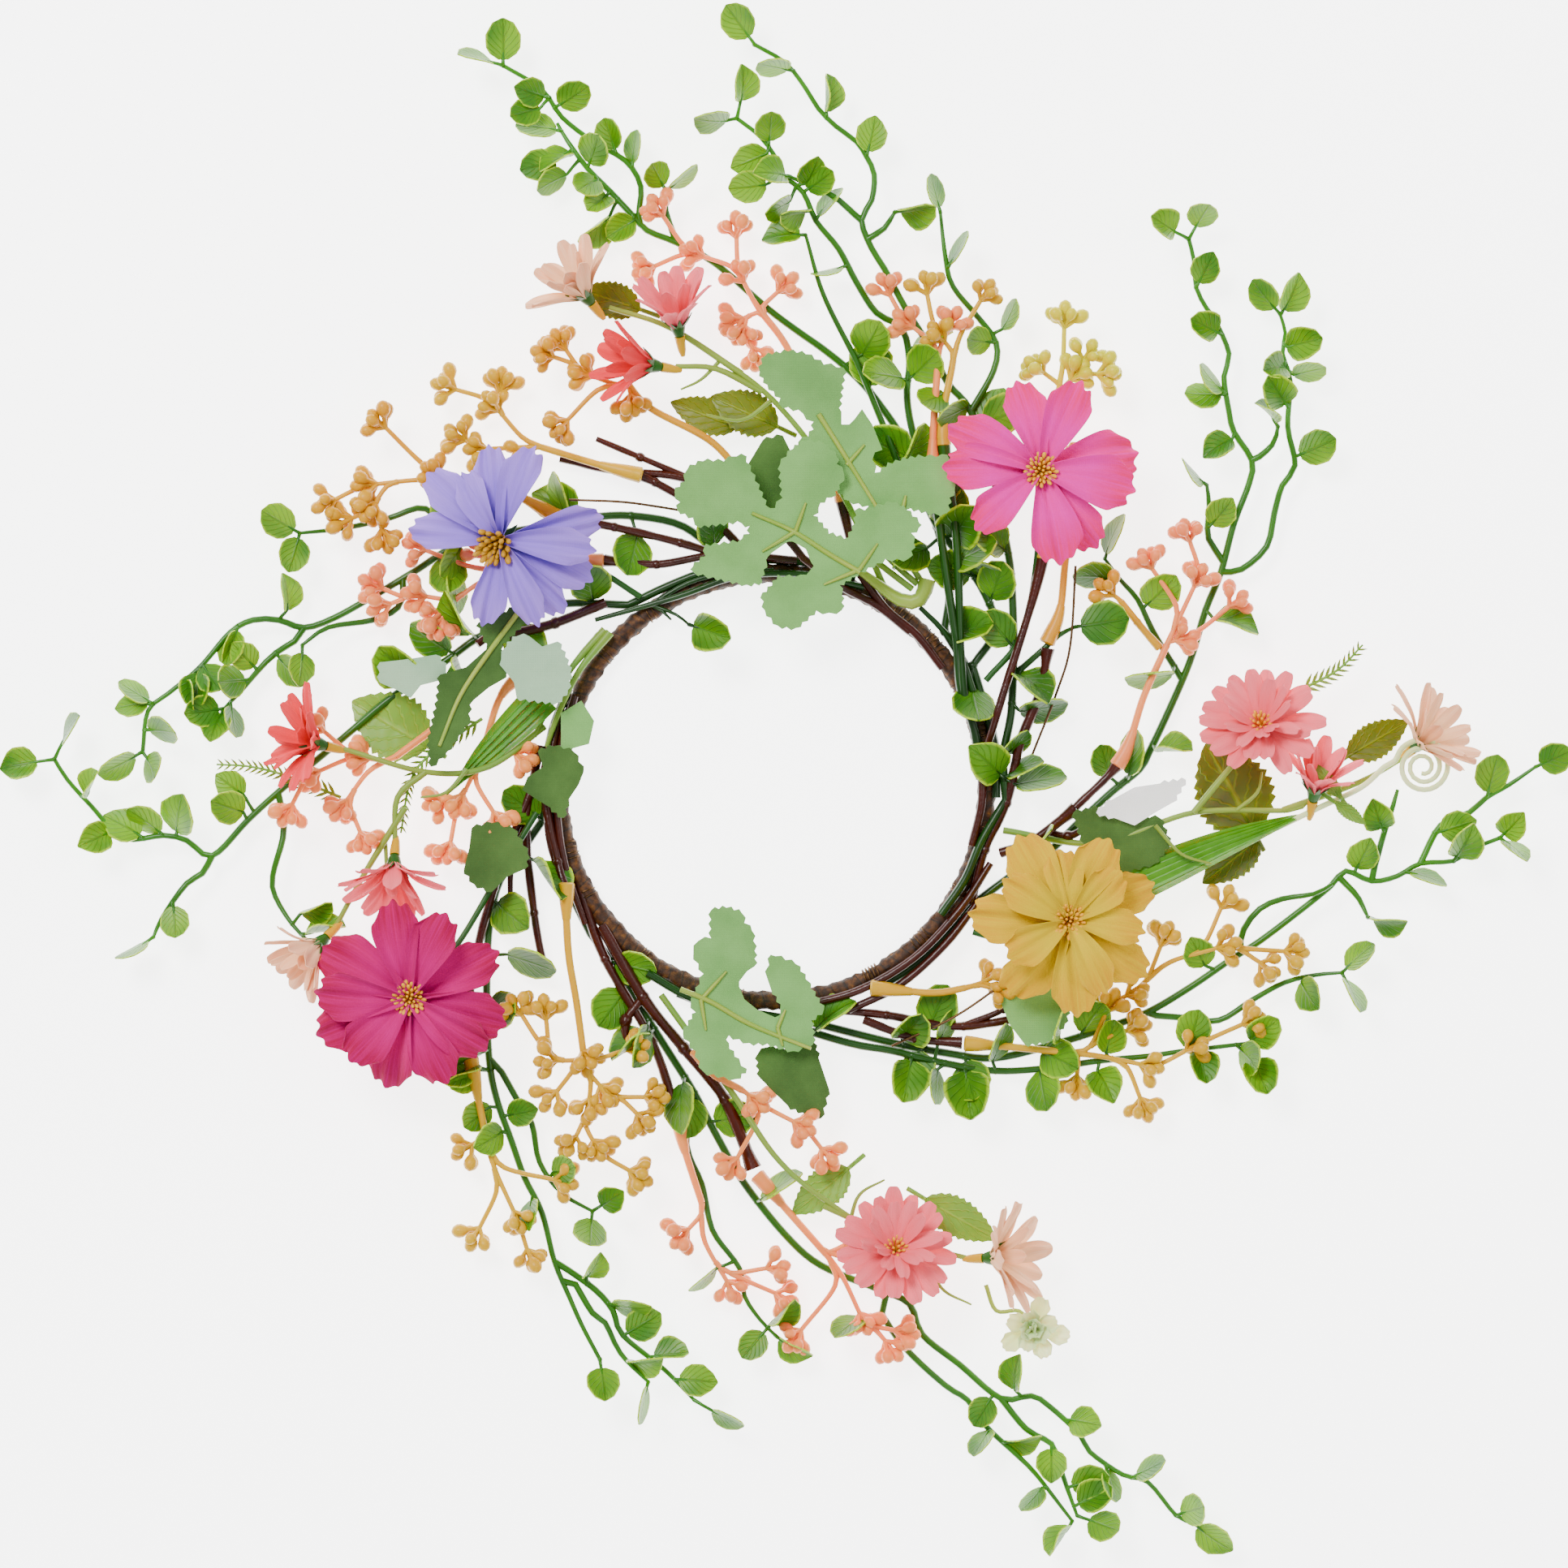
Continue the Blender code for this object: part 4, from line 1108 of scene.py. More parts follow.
        # So that no edge dips under the rest plane.
        base.z = max(base.z, 0.0036 + 0.0064 * size * abs(math.sin(roll)))
        bend = (foot + base) / 2 + UP * 0.0008
        stalk = (smooth_line([foot, bend, base, base + along * 0.003], 0.0012), [0.0009, 0.0007, 0.0007, 0.0004])
        placing = pose(base, along, UP, size, roll)
        share = k / len(line)
        local = self.radius * MM * (1 - 0.5 * share) * (0.8 if line is not lines[0] else 1.0)
        return stalk, placing, pose(foot, forward, UP, local * 1.18 / KNUCKLE_RADIUS)


# ---------------------------------------------------------------- berries and twigs


@dataclass
class BerrySpray(Part):
    """A moulded berry spray: a flared collar, a stalk that forks, and a knot of berries at each end."""

    name: str
    finish: Finish
    slot: str
    height: float  # millimetres, where no CAD node gives it
    stem: list[Spot]
    clusters: list[Spot]
    node: str = ""
    berries: tuple[int, int] = (6, 8)
    stalk: float = 1.15  # millimetres
    collar: float = 3.0  # millimetres; none at 0
    twig: float = 0.0  # millimetres off the hoop that are the twig it is pushed on
    wood: Finish = Finish.TWIG

    def make(self) -> None:
        """Makes the spray as one piece."""
        level = self.layout.storey(self.node, 2.3) if self.node else self.height
        corners = [self.layout.at(x, y, level) for x, y in self.stem]
        tail = []
        if not self.collar:
            tail = smooth_line([*root_tail(self.layout, corners[0], level * MM), corners[0]], 0.003)[:-1]
        trunk = smooth_line(corners, 0.003)
        bare = round(self.twig / 3)
        if bare:
            knotted = [0.0016, 0.0018, 0.0015, 0.0017, 0.0016, 0.0027]
            wood = rods(self.name + "_twig", [(tail + trunk[: bare + 1], knotted)])
            settle(wood, self.wood)
            tail, trunk = [], trunk[bare:]
        trunk = tail + trunk
        thick = self.stalk * 1.35 * MM
        runs = [(trunk, [thick, thick * 0.95, thick * 0.9])]
        if self.collar or bare:
            sleeve = trunk[:6]
            wide = max(self.collar, 2.8 * (bare > 0)) * MM
            runs.append((sleeve, [wide, wide * 1.02, wide * 0.92, wide * 0.72, thick * 1.1]))
            lip = trunk[0] + (trunk[0] - trunk[1]).normalized() * 0.0006
            runs.append(([lip, trunk[0], trunk[1]], [wide * 0.8, wide * 1.08, wide]))
        grown = [(trunk[-2], trunk[-1] - trunk[-2], 0.0), (trunk[-1], trunk[-1] - trunk[-2], 0.0)]
        placings = []
        for x, y in sorted(self.clusters, key=lambda c: math.dist(c, self.stem[-1])):
            middle = self.layout.at(x, y, level + self.rng.uniform(-2.0, 3.0))
            foot, way, done = min(grown, key=lambda g: (g[0] - middle).length + 0.4 * g[2] + self.turn(g, middle))
            middle = middle - (middle - foot).normalized() * 0.005
            reach = (middle - foot).length
            branch = smooth_line(
                [foot, foot + (way.normalized() * 0.55 + (middle - foot).normalized() * 0.45) * reach * 0.4, middle],
                0.003,
            )
            runs.append((branch, [self.stalk * MM * 1.1, self.stalk * MM * 0.85, self.stalk * MM * 0.8]))
            for k in range(1, len(branch)):
                grown.append((branch[k], branch[k] - branch[k - 1], done + reach * k / len(branch)))
            placings += self.knot(branch[-1], branch[-1] - branch[-2])
        stalks = rods(self.name + "_stalks", runs)
        piece = joined(self.name, [stalks, stamped(self.name + "_knots", placings)])
        settle(piece, self.finish, self.node)

    @staticmethod
    def turn(growth: tuple[Vector, Vector, float], middle: Vector) -> float:
        """A cost for a side stalk that would start backwards.

        Args:
            growth: a point of the spray, the way that it grows there and how far it has come.
            middle: where the side stalk goes.
        Returns:
            The cost in metres.
        """
        point, way, _ = growth
        run = middle - point
        if run.length < 0.004:
            return 0.05
        return 0.02 * (1 - run.normalized().dot(way.normalized()))

    def knot(self, at: Vector, way: Vector) -> list[Copy]:
        """The berries at the end of one side stalk, spread round the way that it points.

        Args:
            at: the stalk's end.
            way: where it points.
        Returns:
            The berries' placings.
        """
        count = self.rng.randint(*self.berries)
        forward = way.normalized()
        side = forward.cross(UP).normalized()
        above = side.cross(forward)
        made = [(self.shapes.berry, pose(at, forward + above * 0.3, UP, self.rng.uniform(0.85, 0.98)))]
        for k in range(count - 1):
            swing = math.tau * (k + self.rng.uniform(-0.12, 0.12)) / (count - 1)
            lean = self.rng.uniform(0.75, 1.1)
            ray = side * math.cos(swing) + above * math.sin(swing) * 0.75
            out = forward * math.cos(lean) + ray * math.sin(lean)
            out.z = max(out.z, (0.0034 - at.z) / BERRY_LENGTH)
            made.append((self.shapes.berry, pose(at - forward * 0.0004, out, UP, self.rng.uniform(0.78, 1.08))))
        return made


@dataclass
class BoundStems(Part):
    """Bare stems or wires bound along the hoop, and the sockets that some of them end in."""

    name: str
    finish: Finish
    slot: str
    radii: list[float]  # millimetres, root first
    runs: list[list[Corner]]  # millimetres, with the height of each corner

    def make(self) -> None:
        """Makes the runs as one piece."""
        lines = [smooth_line([self.layout.at(*corner) for corner in run]) for run in self.runs]
        piece = rods(self.name, [(line, [radius * MM for radius in self.radii]) for line in lines])
        settle(piece, self.finish)


@dataclass
class Twig(Part):
    """A moulded twig: glossy brown, knotted where it forks, with a socket at the end that holds a collar."""

    name: str
    height: float
    lines: list[list[Spot]]
    node: str = ""
    radius: float = 1.7
    socket: bool = False
    rise_to: float = 0.0

    def make(self) -> None:
        """Makes the twig and its forks as one piece."""
        level = self.layout.storey(self.node) if self.node else self.height
        end = self.rise_to or level
        runs = []
        knots = []
        for k, line in enumerate(self.lines):
            count = len(line) - 1
            corners = []
            for i, (x, y) in enumerate(line):
                shake = self.rng.uniform(-0.5, 0.5)
                corners.append(self.layout.at(x + shake, y - shake, level + (end - level) * i / count))
            path = smooth_line(corners, 0.0035)
            radius = self.radius * (1.0 if k == 0 else 0.72) * MM
            radii = [radius * self.rng.uniform(0.88, 1.12) for _ in range(len(path) // 2 + 2)]
            if self.socket and k == 0:
                radii[-1] = radius * 1.5
            runs.append((path, radii))
            for corner in corners[1:-1]:
                knots.append((self.shapes.knuckle, pose(corner, path[-1] - path[0], UP, self.radius / 1.7)))
        piece = rods(self.name, runs)
        if knots:
            piece = joined(self.name, [piece, stamped(self.name + "_knots", knots)])
        settle(piece, Finish.TWIG, self.node)


# ---------------------------------------------------------------- blossoms


@dataclass
class Cosmos(Part):
    """A cosmos: heat-formed cloth petals in two layers, a tuft of stamens, a calyx and a stalk."""

    name: str
    finish: Finish
    slot: str
    stalk: list[Spot]
    petals: list[tuple[float, float, float, int]]  # bearing, lift in degrees, scale, kind; the lower layer first
    tuft: Finish = Finish.STAMEN
    tuft_lean: tuple[float, float] = (0.0, 0.0)
    tuft_size: float = 1.0
    stamens: int = 42
    breadth: float = 0.84  # the petals' width beside that of the template

    def make(self) -> None:
        """Makes the petals, the tuft and the stalk with its calyx."""
        low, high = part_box(self.name + "_petals")
        middle = Vector(((low[0] + high[0]) / 2, (low[1] + high[1]) / 2, (low[2] + high[2]) / 2))
        copies = []
        for k, (bearing, lift, size, kind) in enumerate(self.petals):
            turn, up = math.radians(bearing), math.radians(lift)
            along = toward(turn, up)
            foot = middle + toward(turn) * 0.0022 + UP * (0.00045 * k - 0.001)
            wide = self.breadth * self.rng.uniform(0.86, 1.1)
            placing = pose(foot, along, UP, size, self.rng.gauss(0, 0.13)) @ Matrix.Diagonal((wide, 1, 1, 1))
            copies.append((self.shapes.cosmos[kind], placing))
        settle(stamped(self.name + "_blossom", copies), self.finish, self.name + "_petals")
        self.heart(middle)
        self.support(middle)

    def heart(self, middle: Vector) -> None:
        """Makes the tuft of stamens, shortest in the middle.

        Args:
            middle: the blossom's middle.
        """
        copies = []
        lean = Vector((*self.tuft_lean, 1.0))
        for k in range(self.stamens):
            out = math.sqrt((k + 0.5) / self.stamens)
            ray = toward(k * GOLDEN_TURN)
            way = ray * out * 0.85 + lean
            foot = middle + ray * out * 0.0021 + UP * 0.0008
            size = (0.62 + 0.38 * out) * self.rng.uniform(0.9, 1.12) * self.tuft_size
            copies.append((self.shapes.stamen, pose(foot, way, Vector((1, 0, 0.2)), size)))
        settle(stamped(self.name + "_stamens", copies), self.tuft)

    def support(self, middle: Vector) -> None:
        """Makes the green calyx under the petals, and the stalk down to the hoop.

        Args:
            middle: the blossom's middle.
        """
        low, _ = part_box(self.name + "_heart")
        spots = [self.layout.at(x, y) for x, y in self.stalk]
        for k, spot in enumerate(spots):
            spot.z = low[2] + 0.0012 + (middle.z - 0.012 - low[2]) * (k / len(spots)) ** 1.5
        line = smooth_line([*spots, middle - UP * 0.006, middle - UP * 0.001])
        stalk = rods(self.name + "_stem", [(line, [0.0013, 0.0012, 0.0012, 0.0022])])
        sepals = []
        for k in range(8):
            way = toward(math.tau * k / 8) - UP * 0.12
            sepals.append((self.shapes.sepal, pose(middle - UP * 0.0026, way, UP, 1.1)))
        piece = joined(self.name + "_stalk", [stalk, stamped(self.name + "_sepals", sepals)])
        settle(piece, Finish.CALYX, self.name + "_heart")


@dataclass
class Daisy(Part):
    """A daisy: two layers of long cloth petals in a green calyx, with a yellow collar behind it."""

    node: str
    finish: Finish
    slot: str
    at: Spot
    facing: float  # degrees, seen from above
    raised: float = 40.0  # degrees that it looks up
    petals: int = 13
    inner: int = 8
    opening: float = 66.0
    size: float = 1.0
    centre: bool = False

    def make(self) -> None:
        """Makes the petals and the calyx."""
        low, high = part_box(self.node)
        axis = toward(math.radians(self.facing), math.radians(self.raised))
        foot = self.layout.at(*self.at)
        foot.z = (low[2] + high[2]) / 2
        side = axis.cross(UP).normalized()
        above = side.cross(axis)
        copies = []
        for layer, (count, opening, reach) in enumerate(
            ((self.petals, self.opening, 1.0), (self.inner, self.opening * 0.58, 0.82))
        ):
            for k in range(count):
                swing = math.tau * (k + 0.5 * layer + self.rng.uniform(-0.18, 0.18)) / count
                lean = math.radians(opening + self.rng.uniform(-9, 9))
                ray = side * math.cos(swing) + above * math.sin(swing)
                way = axis * math.cos(lean) + ray * math.sin(lean)
                start = foot + ray * 0.0016 + axis * (0.0004 + 0.0012 * layer)
                size = self.size * reach * self.rng.uniform(0.92, 1.06)
                copies.append((self.rng.choice(self.shapes.daisy),
                               pose(start, way, axis, size, self.rng.gauss(0, 0.14))))
        settle(stamped(self.node + "_blossom", copies), self.finish, self.node)
        self.calyx(foot, axis, side, above)
        if self.centre:
            tuft = []
            for k in range(24):
                out = math.sqrt((k + 0.5) / 24)
                ray = side * math.cos(k * 2.4) + above * math.sin(k * 2.4)
                tuft.append((self.shapes.stamen, pose(foot + ray * out * 0.0016, axis + ray * out * 0.8, UP, 0.8)))
            settle(stamped(self.node + "_stamens", tuft), Finish.STAMEN)

    def calyx(self, foot: Vector, axis: Vector, side: Vector, above: Vector) -> None:
        """Makes the green cup with its sepals, and the yellow collar that the stalk is pushed into.

        Args:
            foot: the blossom's foot.
            axis: the way it faces.
            side: square to the axis and level.
            above: square to both.
        """
        cup = rods(
            self.node + "_cup", [([foot - axis * d for d in (0.0045, 0.003, 0.001, -0.0006)], [0.0014, 0.0026, 0.0031])]
        )
        sepals = []
        for k in range(9):
            ray = side * math.cos(math.tau * k / 9) + above * math.sin(math.tau * k / 9)
            sepals.append((self.shapes.sepal, pose(foot + ray * 0.0022, axis * 0.75 + ray, axis, 0.8)))
        green = joined(self.node + "_calyx", [cup, stamped(self.node + "_sepals", sepals)])
        settle(green, Finish.CALYX)
        sleeve = [foot - axis * d for d in (0.0125, 0.010, 0.007, 0.004)]
        settle(rods(self.node + "_collar", [(sleeve, [0.0009, 0.0016, 0.0019, 0.0021])]), Finish.YELLOW)


@dataclass
class StalkSpray(Part):
    """The stalks of a daisy spray, with the small tendrils moulded on them."""

    node: str
    lines: list[list[Spot]]
    tendrils: list[list[Spot]] = field(default_factory=list)

    def make(self) -> None:
        """Makes the stalks as one piece."""
        low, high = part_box(self.node)
        runs = []
        for k, line in enumerate(self.lines):
            last = len(line) - 1
            corners = []
            for i, (x, y) in enumerate(line):
                share = min(1.0, i / last * 1.6) if k == 0 else 1.0
                corners.append(self.layout.at(x, y, (low[2] + (high[2] - low[2]) * share) / MM - 1.2))
            runs.append((smooth_line(corners), [0.00135, 0.0013, 0.0011, 0.001]))
        for line in self.tendrils:
            corners = [self.layout.at(x, y, high[2] / MM - 2.5 + self.rng.uniform(-1, 2)) for x, y in line]
            runs.append((smooth_line(corners, 0.002), [0.0009, 0.0007, 0.0004]))
        settle(rods(self.node + "_stems", runs), Finish.STALK, self.node)


# ---------------------------------------------------------------- leaves


@dataclass
class DieCutLeaf(Part):
    """A lobed cloth leaf cut with a pinked edge, and the moulded rib that is stuck along it."""

    name: str
    finish: Finish
    height: float
    outline: list[Spot]
    ribs: list[list[Spot]] = field(default_factory=list)
    node: str = ""
    curl: float = 0.0028  # metres that the lobes rise, per (30 mm) squared from the middle
    tilt: tuple[float, float] = (0.0, 0.0)
    teeth_mm: float = 3.6
    tooth: float = 0.0011  # metres that a tooth stands out
    waist: float = 0.012  # metres from the leaf's middle within which its edge has no teeth
    facet: float = 0.004  # metres of the longest edge that the bent cloth keeps

    def pinked(self) -> list[Vector]:
        """The outline with small teeth along its outer stretches."""
        corners = [self.layout.at(x, y) for x, y in self.outline]
        middle = sum(corners, Vector()) / len(corners)
        edge = []
        for here, there in zip(corners, corners[1:] + corners[:1]):
            run = there - here
            count = max(1, round(run.length / (self.teeth_mm * MM)))
            outside = ((here + there) / 2 - middle).length > self.waist
            normal = Vector((run.y, -run.x, 0)).normalized()
            if normal.dot((here + there) / 2 - middle) < 0:
                normal.negate()
            for k in range(count):
                edge.append(here + run * k / count)
                if outside:
                    edge.append(here + run * (k + 0.55) / count + normal * self.tooth)
        return edge

    @staticmethod
    def smallest_blank(edge: list[Vector]) -> tuple[float, float]:
        """The smallest rectangle that the leaf can be cut from.

        Args:
            edge: the leaf's outline, flat.
        Returns:
            Its width and length in metres.
        """
        blanks = []
        for degrees in range(0, 90, 5):
            turned_edge = [Matrix.Rotation(math.radians(degrees), 3, "Z") @ p for p in edge]
            spans = [max(p[k] for p in turned_edge) - min(p[k] for p in turned_edge) for k in (0, 1)]
            blanks.append((spans[0] * spans[1], min(spans), max(spans)))
        return min(blanks)[1:]

    def bend(self, place: Vector, middle: Vector) -> float:
        """How far the cloth rises at a place.

        Args:
            place: a point of the flat leaf.
            middle: the middle of the leaf.
        Returns:
            The rise in metres over the height of the middle.
        """
        run = place - middle
        rise = self.curl * (run.length / 0.03) ** 2
        wave = noise.noise(place * 45) * 0.0022
        return rise + wave + run.x * self.tilt[0] + run.y * self.tilt[1]

    def make(self) -> None:
        """Makes the cloth and its rib."""
        level = self.layout.storey(self.node) if self.node else self.height
        edge = self.pinked()
        middle = sum(edge, Vector()) / len(edge)
        curve = bpy.data.curves.new(self.name, "CURVE")
        curve.dimensions = "2D"
        curve.fill_mode = "BOTH"
        spline = curve.splines.new("POLY")
        spline.points.add(len(edge) - 1)
        spline.use_cyclic_u = True
        for point, place in zip(spline.points, edge):
            point.co = (place.x, place.y, 0, 1)
        obj = editable(self.name, curve, 1e-6)
        for _ in range(5):
            bpy.ops.mesh.select_mode(type="EDGE")
            mesh = bmesh.from_edit_mesh(obj.data)
            for cut in mesh.edges:
                cut.select_set(cut.calc_length() > self.facet)
            bmesh.update_edit_mesh(obj.data)
            bpy.ops.mesh.subdivide(number_cuts=1)
            bpy.ops.mesh.select_all(action="SELECT")
            bpy.ops.mesh.quads_convert_to_tris()
            bpy.ops.mesh.beautify_fill(angle_limit=math.pi)
        bpy.ops.object.mode_set(mode="OBJECT")
        sculpt(obj, lambda place: Vector((place.x, place.y, level * MM + self.bend(place, middle))))
        thicken(obj, 0.00035)
        settle(obj, self.finish, self.node)
        if self.ribs:
            self.rib(level, middle)

    def rib(self, level: float, middle: Vector) -> None:
        """Makes the moulded midrib with its side ribs, lying on the cloth.

        Args:
            level: the cloth's height in millimetres.
            middle: the middle of the leaf.
        """
        runs = []
        for k, line in enumerate(self.ribs):
            path = smooth_line([self.layout.at(x, y) for x, y in line], 0.003)
            for point in path:
                point.z = level * MM + self.bend(point, middle) + 0.0007
            runs.append((path, [0.0011, 0.001, 0.0007] if k == 0 else [0.0009, 0.0008, 0.0004]))
        settle(rods(self.name + "_rib", runs), Finish.RIB)


@dataclass
class MouldedLeaf(Part):
    """A larger moulded leaf with a toothed edge and pressed veins."""

    name: str
    finish: Finish
    slot: str
    foot: Spot
    tip: Spot
    width: float  # millimetres
    height: float
    node: str = ""
    roll: float = 0.0
    lift: float = 0.0
    cup: float = 0.2

    def make(self) -> None:
        """Makes the leaf with a short stalk."""
        level = self.layout.storey(self.node) if self.node else self.height
        foot, tip = self.layout.at(*self.foot, level), self.layout.at(*self.tip, level + self.lift)
        length = (tip - foot).length
        rows = 22
        spans = []
        for k in range(rows + 1):
            share = k / rows
            body = math.sin(math.pi * share**0.8) ** 0.75 if 0 < share < 1 else 0.02
            tooth = 1.0 + (0.09 if k % 2 else -0.05)
            spans.append((max(0.0006, self.width * MM * body * tooth), 0.0))
        obj = blade(self.name, 8, length, spans)

        def form(place: Vector) -> Vector:
            """Where a vertex of the flat blade goes."""
            side = abs(place.x)
            vein = 0.00035 * math.sin((place.y / length - side / length * 0.9) * 5.5 * math.tau)
            droop = -0.004 * (place.y / length) ** 2
            return Vector((place.x, place.y, place.z + self.cup * side + vein * min(1, side / 0.003) + droop))

        sculpt(obj, form)
        thicken(obj, 0.0005)
        obj.data.transform(pose(foot, tip - foot, UP, 1.0, self.roll))
        back = foot - (tip - foot).normalized() * 0.008 - UP * 0.002
        stalk = rods(self.name + "_stalk", [([back, foot, foot + (tip - foot) * 0.2], [0.001, 0.0009, 0.0005])])
        settle(joined(self.name, [obj, stalk]), self.finish, self.node)


@dataclass
class GrassBundle(Part):
    """A few flat extruded grass blades that lie on one another and taper to one tip."""

    name: str
    line: list[Spot]
    width: float
    heights: tuple[float, float]
    node: str = ""
    blades: int = 5

    def make(self) -> None:
        """Makes the blades as one piece."""
        made = []
        for k in range(self.blades):
            share = k / (self.blades - 1) - 0.5
            count = len(self.line) - 1
            corners = []
            for i, (x, y) in enumerate(self.line):
                height = self.heights[0] + (self.heights[1] - self.heights[0]) * i / count
                corners.append(self.layout.at(x, y, height + k * 0.35))
            path = smooth_line(corners, 0.005)
            ends = 1.0 - 0.12 * abs(share)
            path = path[: round(len(path) * ends)]
            rows = [(1.0, 0.0)] * len(path)
            obj = blade(f"{self.name}_{k}", 4, 1.0, rows)
            last = len(path) - 1
            own = self.width * MM * 0.42

            def lay(place: Vector, path: list[Vector] = path, last: int = last, share: float = share) -> Vector:
                """Where a vertex of the straight blade goes along the bundle."""
                i = min(last, round(place.y * last))
                along = (path[min(last, i + 1)] - path[max(0, i - 1)]).normalized()
                side = along.cross(UP).normalized()
                taper = (1 - (i / last) ** 2.2) * 0.95 + 0.05
                fold = abs(place.x) * 0.9 - 0.25
                offset = share * self.width * MM * taper * 0.75
                return path[i] + side * (place.x * own * taper + offset) + UP * (fold * own * 0.5 * taper)

            sculpt(obj, lay)
            made.append(thicken(obj, 0.0003))
        settle(joined(self.name, made), Finish.GRASS, self.node)


# ---------------------------------------------------------------- small pieces


def curl_tendril(layout: Layout, shapes: Shapes) -> None:
    """Makes the pale tendril with its inward spiral and two small leaves.

    Args:
        layout: the places on the hoop.
        shapes: the templates to copy.
    """
    height = layout.storey("curl_tendril") + 12
    centre = layout.at(254, 8, height)
    points = [layout.at(x, y, height + z) for x, y, z in ((198, -16, -12), (214, -8, -5), (230, 0, 0), (239, 8, 0))]
    for k in range(34):
        points.append(centre + toward(math.radians(168 - 30 * k)) * (11.2 - 0.26 * k) * MM)
    line = smooth_line(points, 0.002)
    rod = rods("curl_tendril_rod", [(line, [0.0012, 0.0011, 0.0011, 0.001, 0.0009])])
    settle(rod, Finish.PALE, "curl_tendril")
    for k, (foot, tip) in enumerate((((222, -4), (212, 9)), ((220, -6), (231, -14)))):
        bract = MouldedLeaf(f"curl_bract_{k}", Finish.FRESH, "pale_green", foot, tip, 5.5, height, lift=3.0)
        bract.build(layout, shapes, Random(k))


def herb_sprig(layout: Layout, shapes: Shapes, name: str, line: list[Spot], height: float) -> None:
    """Makes a thin stalk with a needle on each side at every step.

    Args:
        layout: the places on the hoop.
        shapes: the templates to copy.
        name: the piece's name.
        line: the stalk seen from above.
        height: millimetres over the rest plane.
    """
    path = smooth_line([layout.at(x, y, height) for x, y in line], 0.0028)
    copies = []
    for k, point in enumerate(path[1:-1]):
        forward = path[k + 2] - path[k]
        side = forward.cross(UP).normalized()
        for way in (-1, 1):
            out = forward.normalized() + side * way * 0.9 + UP * 0.25
            copies.append((shapes.needle, pose(point, out, UP, 1.0 - 0.5 * k / len(path))))
    stalk = rods(name + "_stalk", [(path, [0.0007, 0.0004])])
    settle(joined(name, [stalk, stamped(name + "_needles", copies)]), Finish.FRESH)


def pale_bud(layout: Layout, shapes: Shapes) -> None:
    """Makes a half-open pale rosebud on a thin stalk, its petals wrapped round each other.

    Args:
        layout: the places on the hoop.
        shapes: the templates to copy.
    """
    centre = layout.at(102, -212, 20)
    copies = []
    for k in range(14):
        ray = toward(k * GOLDEN_TURN)
        out = 0.15 + 0.85 * k / 13
        way = ray * out + UP * (1.25 - 0.9 * out)
        copies.append((shapes.cosmos[2], pose(centre + ray * out * 0.0035, way, UP * 0.3 - ray, 0.3 + 0.06 * out)))
    settle(stamped("pale_bud", copies), Finish.PALE)
    line = [layout.at(x, y, z) for x, y, z in ((84, -196, 12), (88, -206, 13), (97, -206, 15), (102, -212, 19))]
    stalk = rods("pale_bud_stalk", [(smooth_line(line, 0.002), [0.0009, 0.0008])])
    settle(stalk, Finish.STALK)


# ---------------------------------------------------------------- the crown

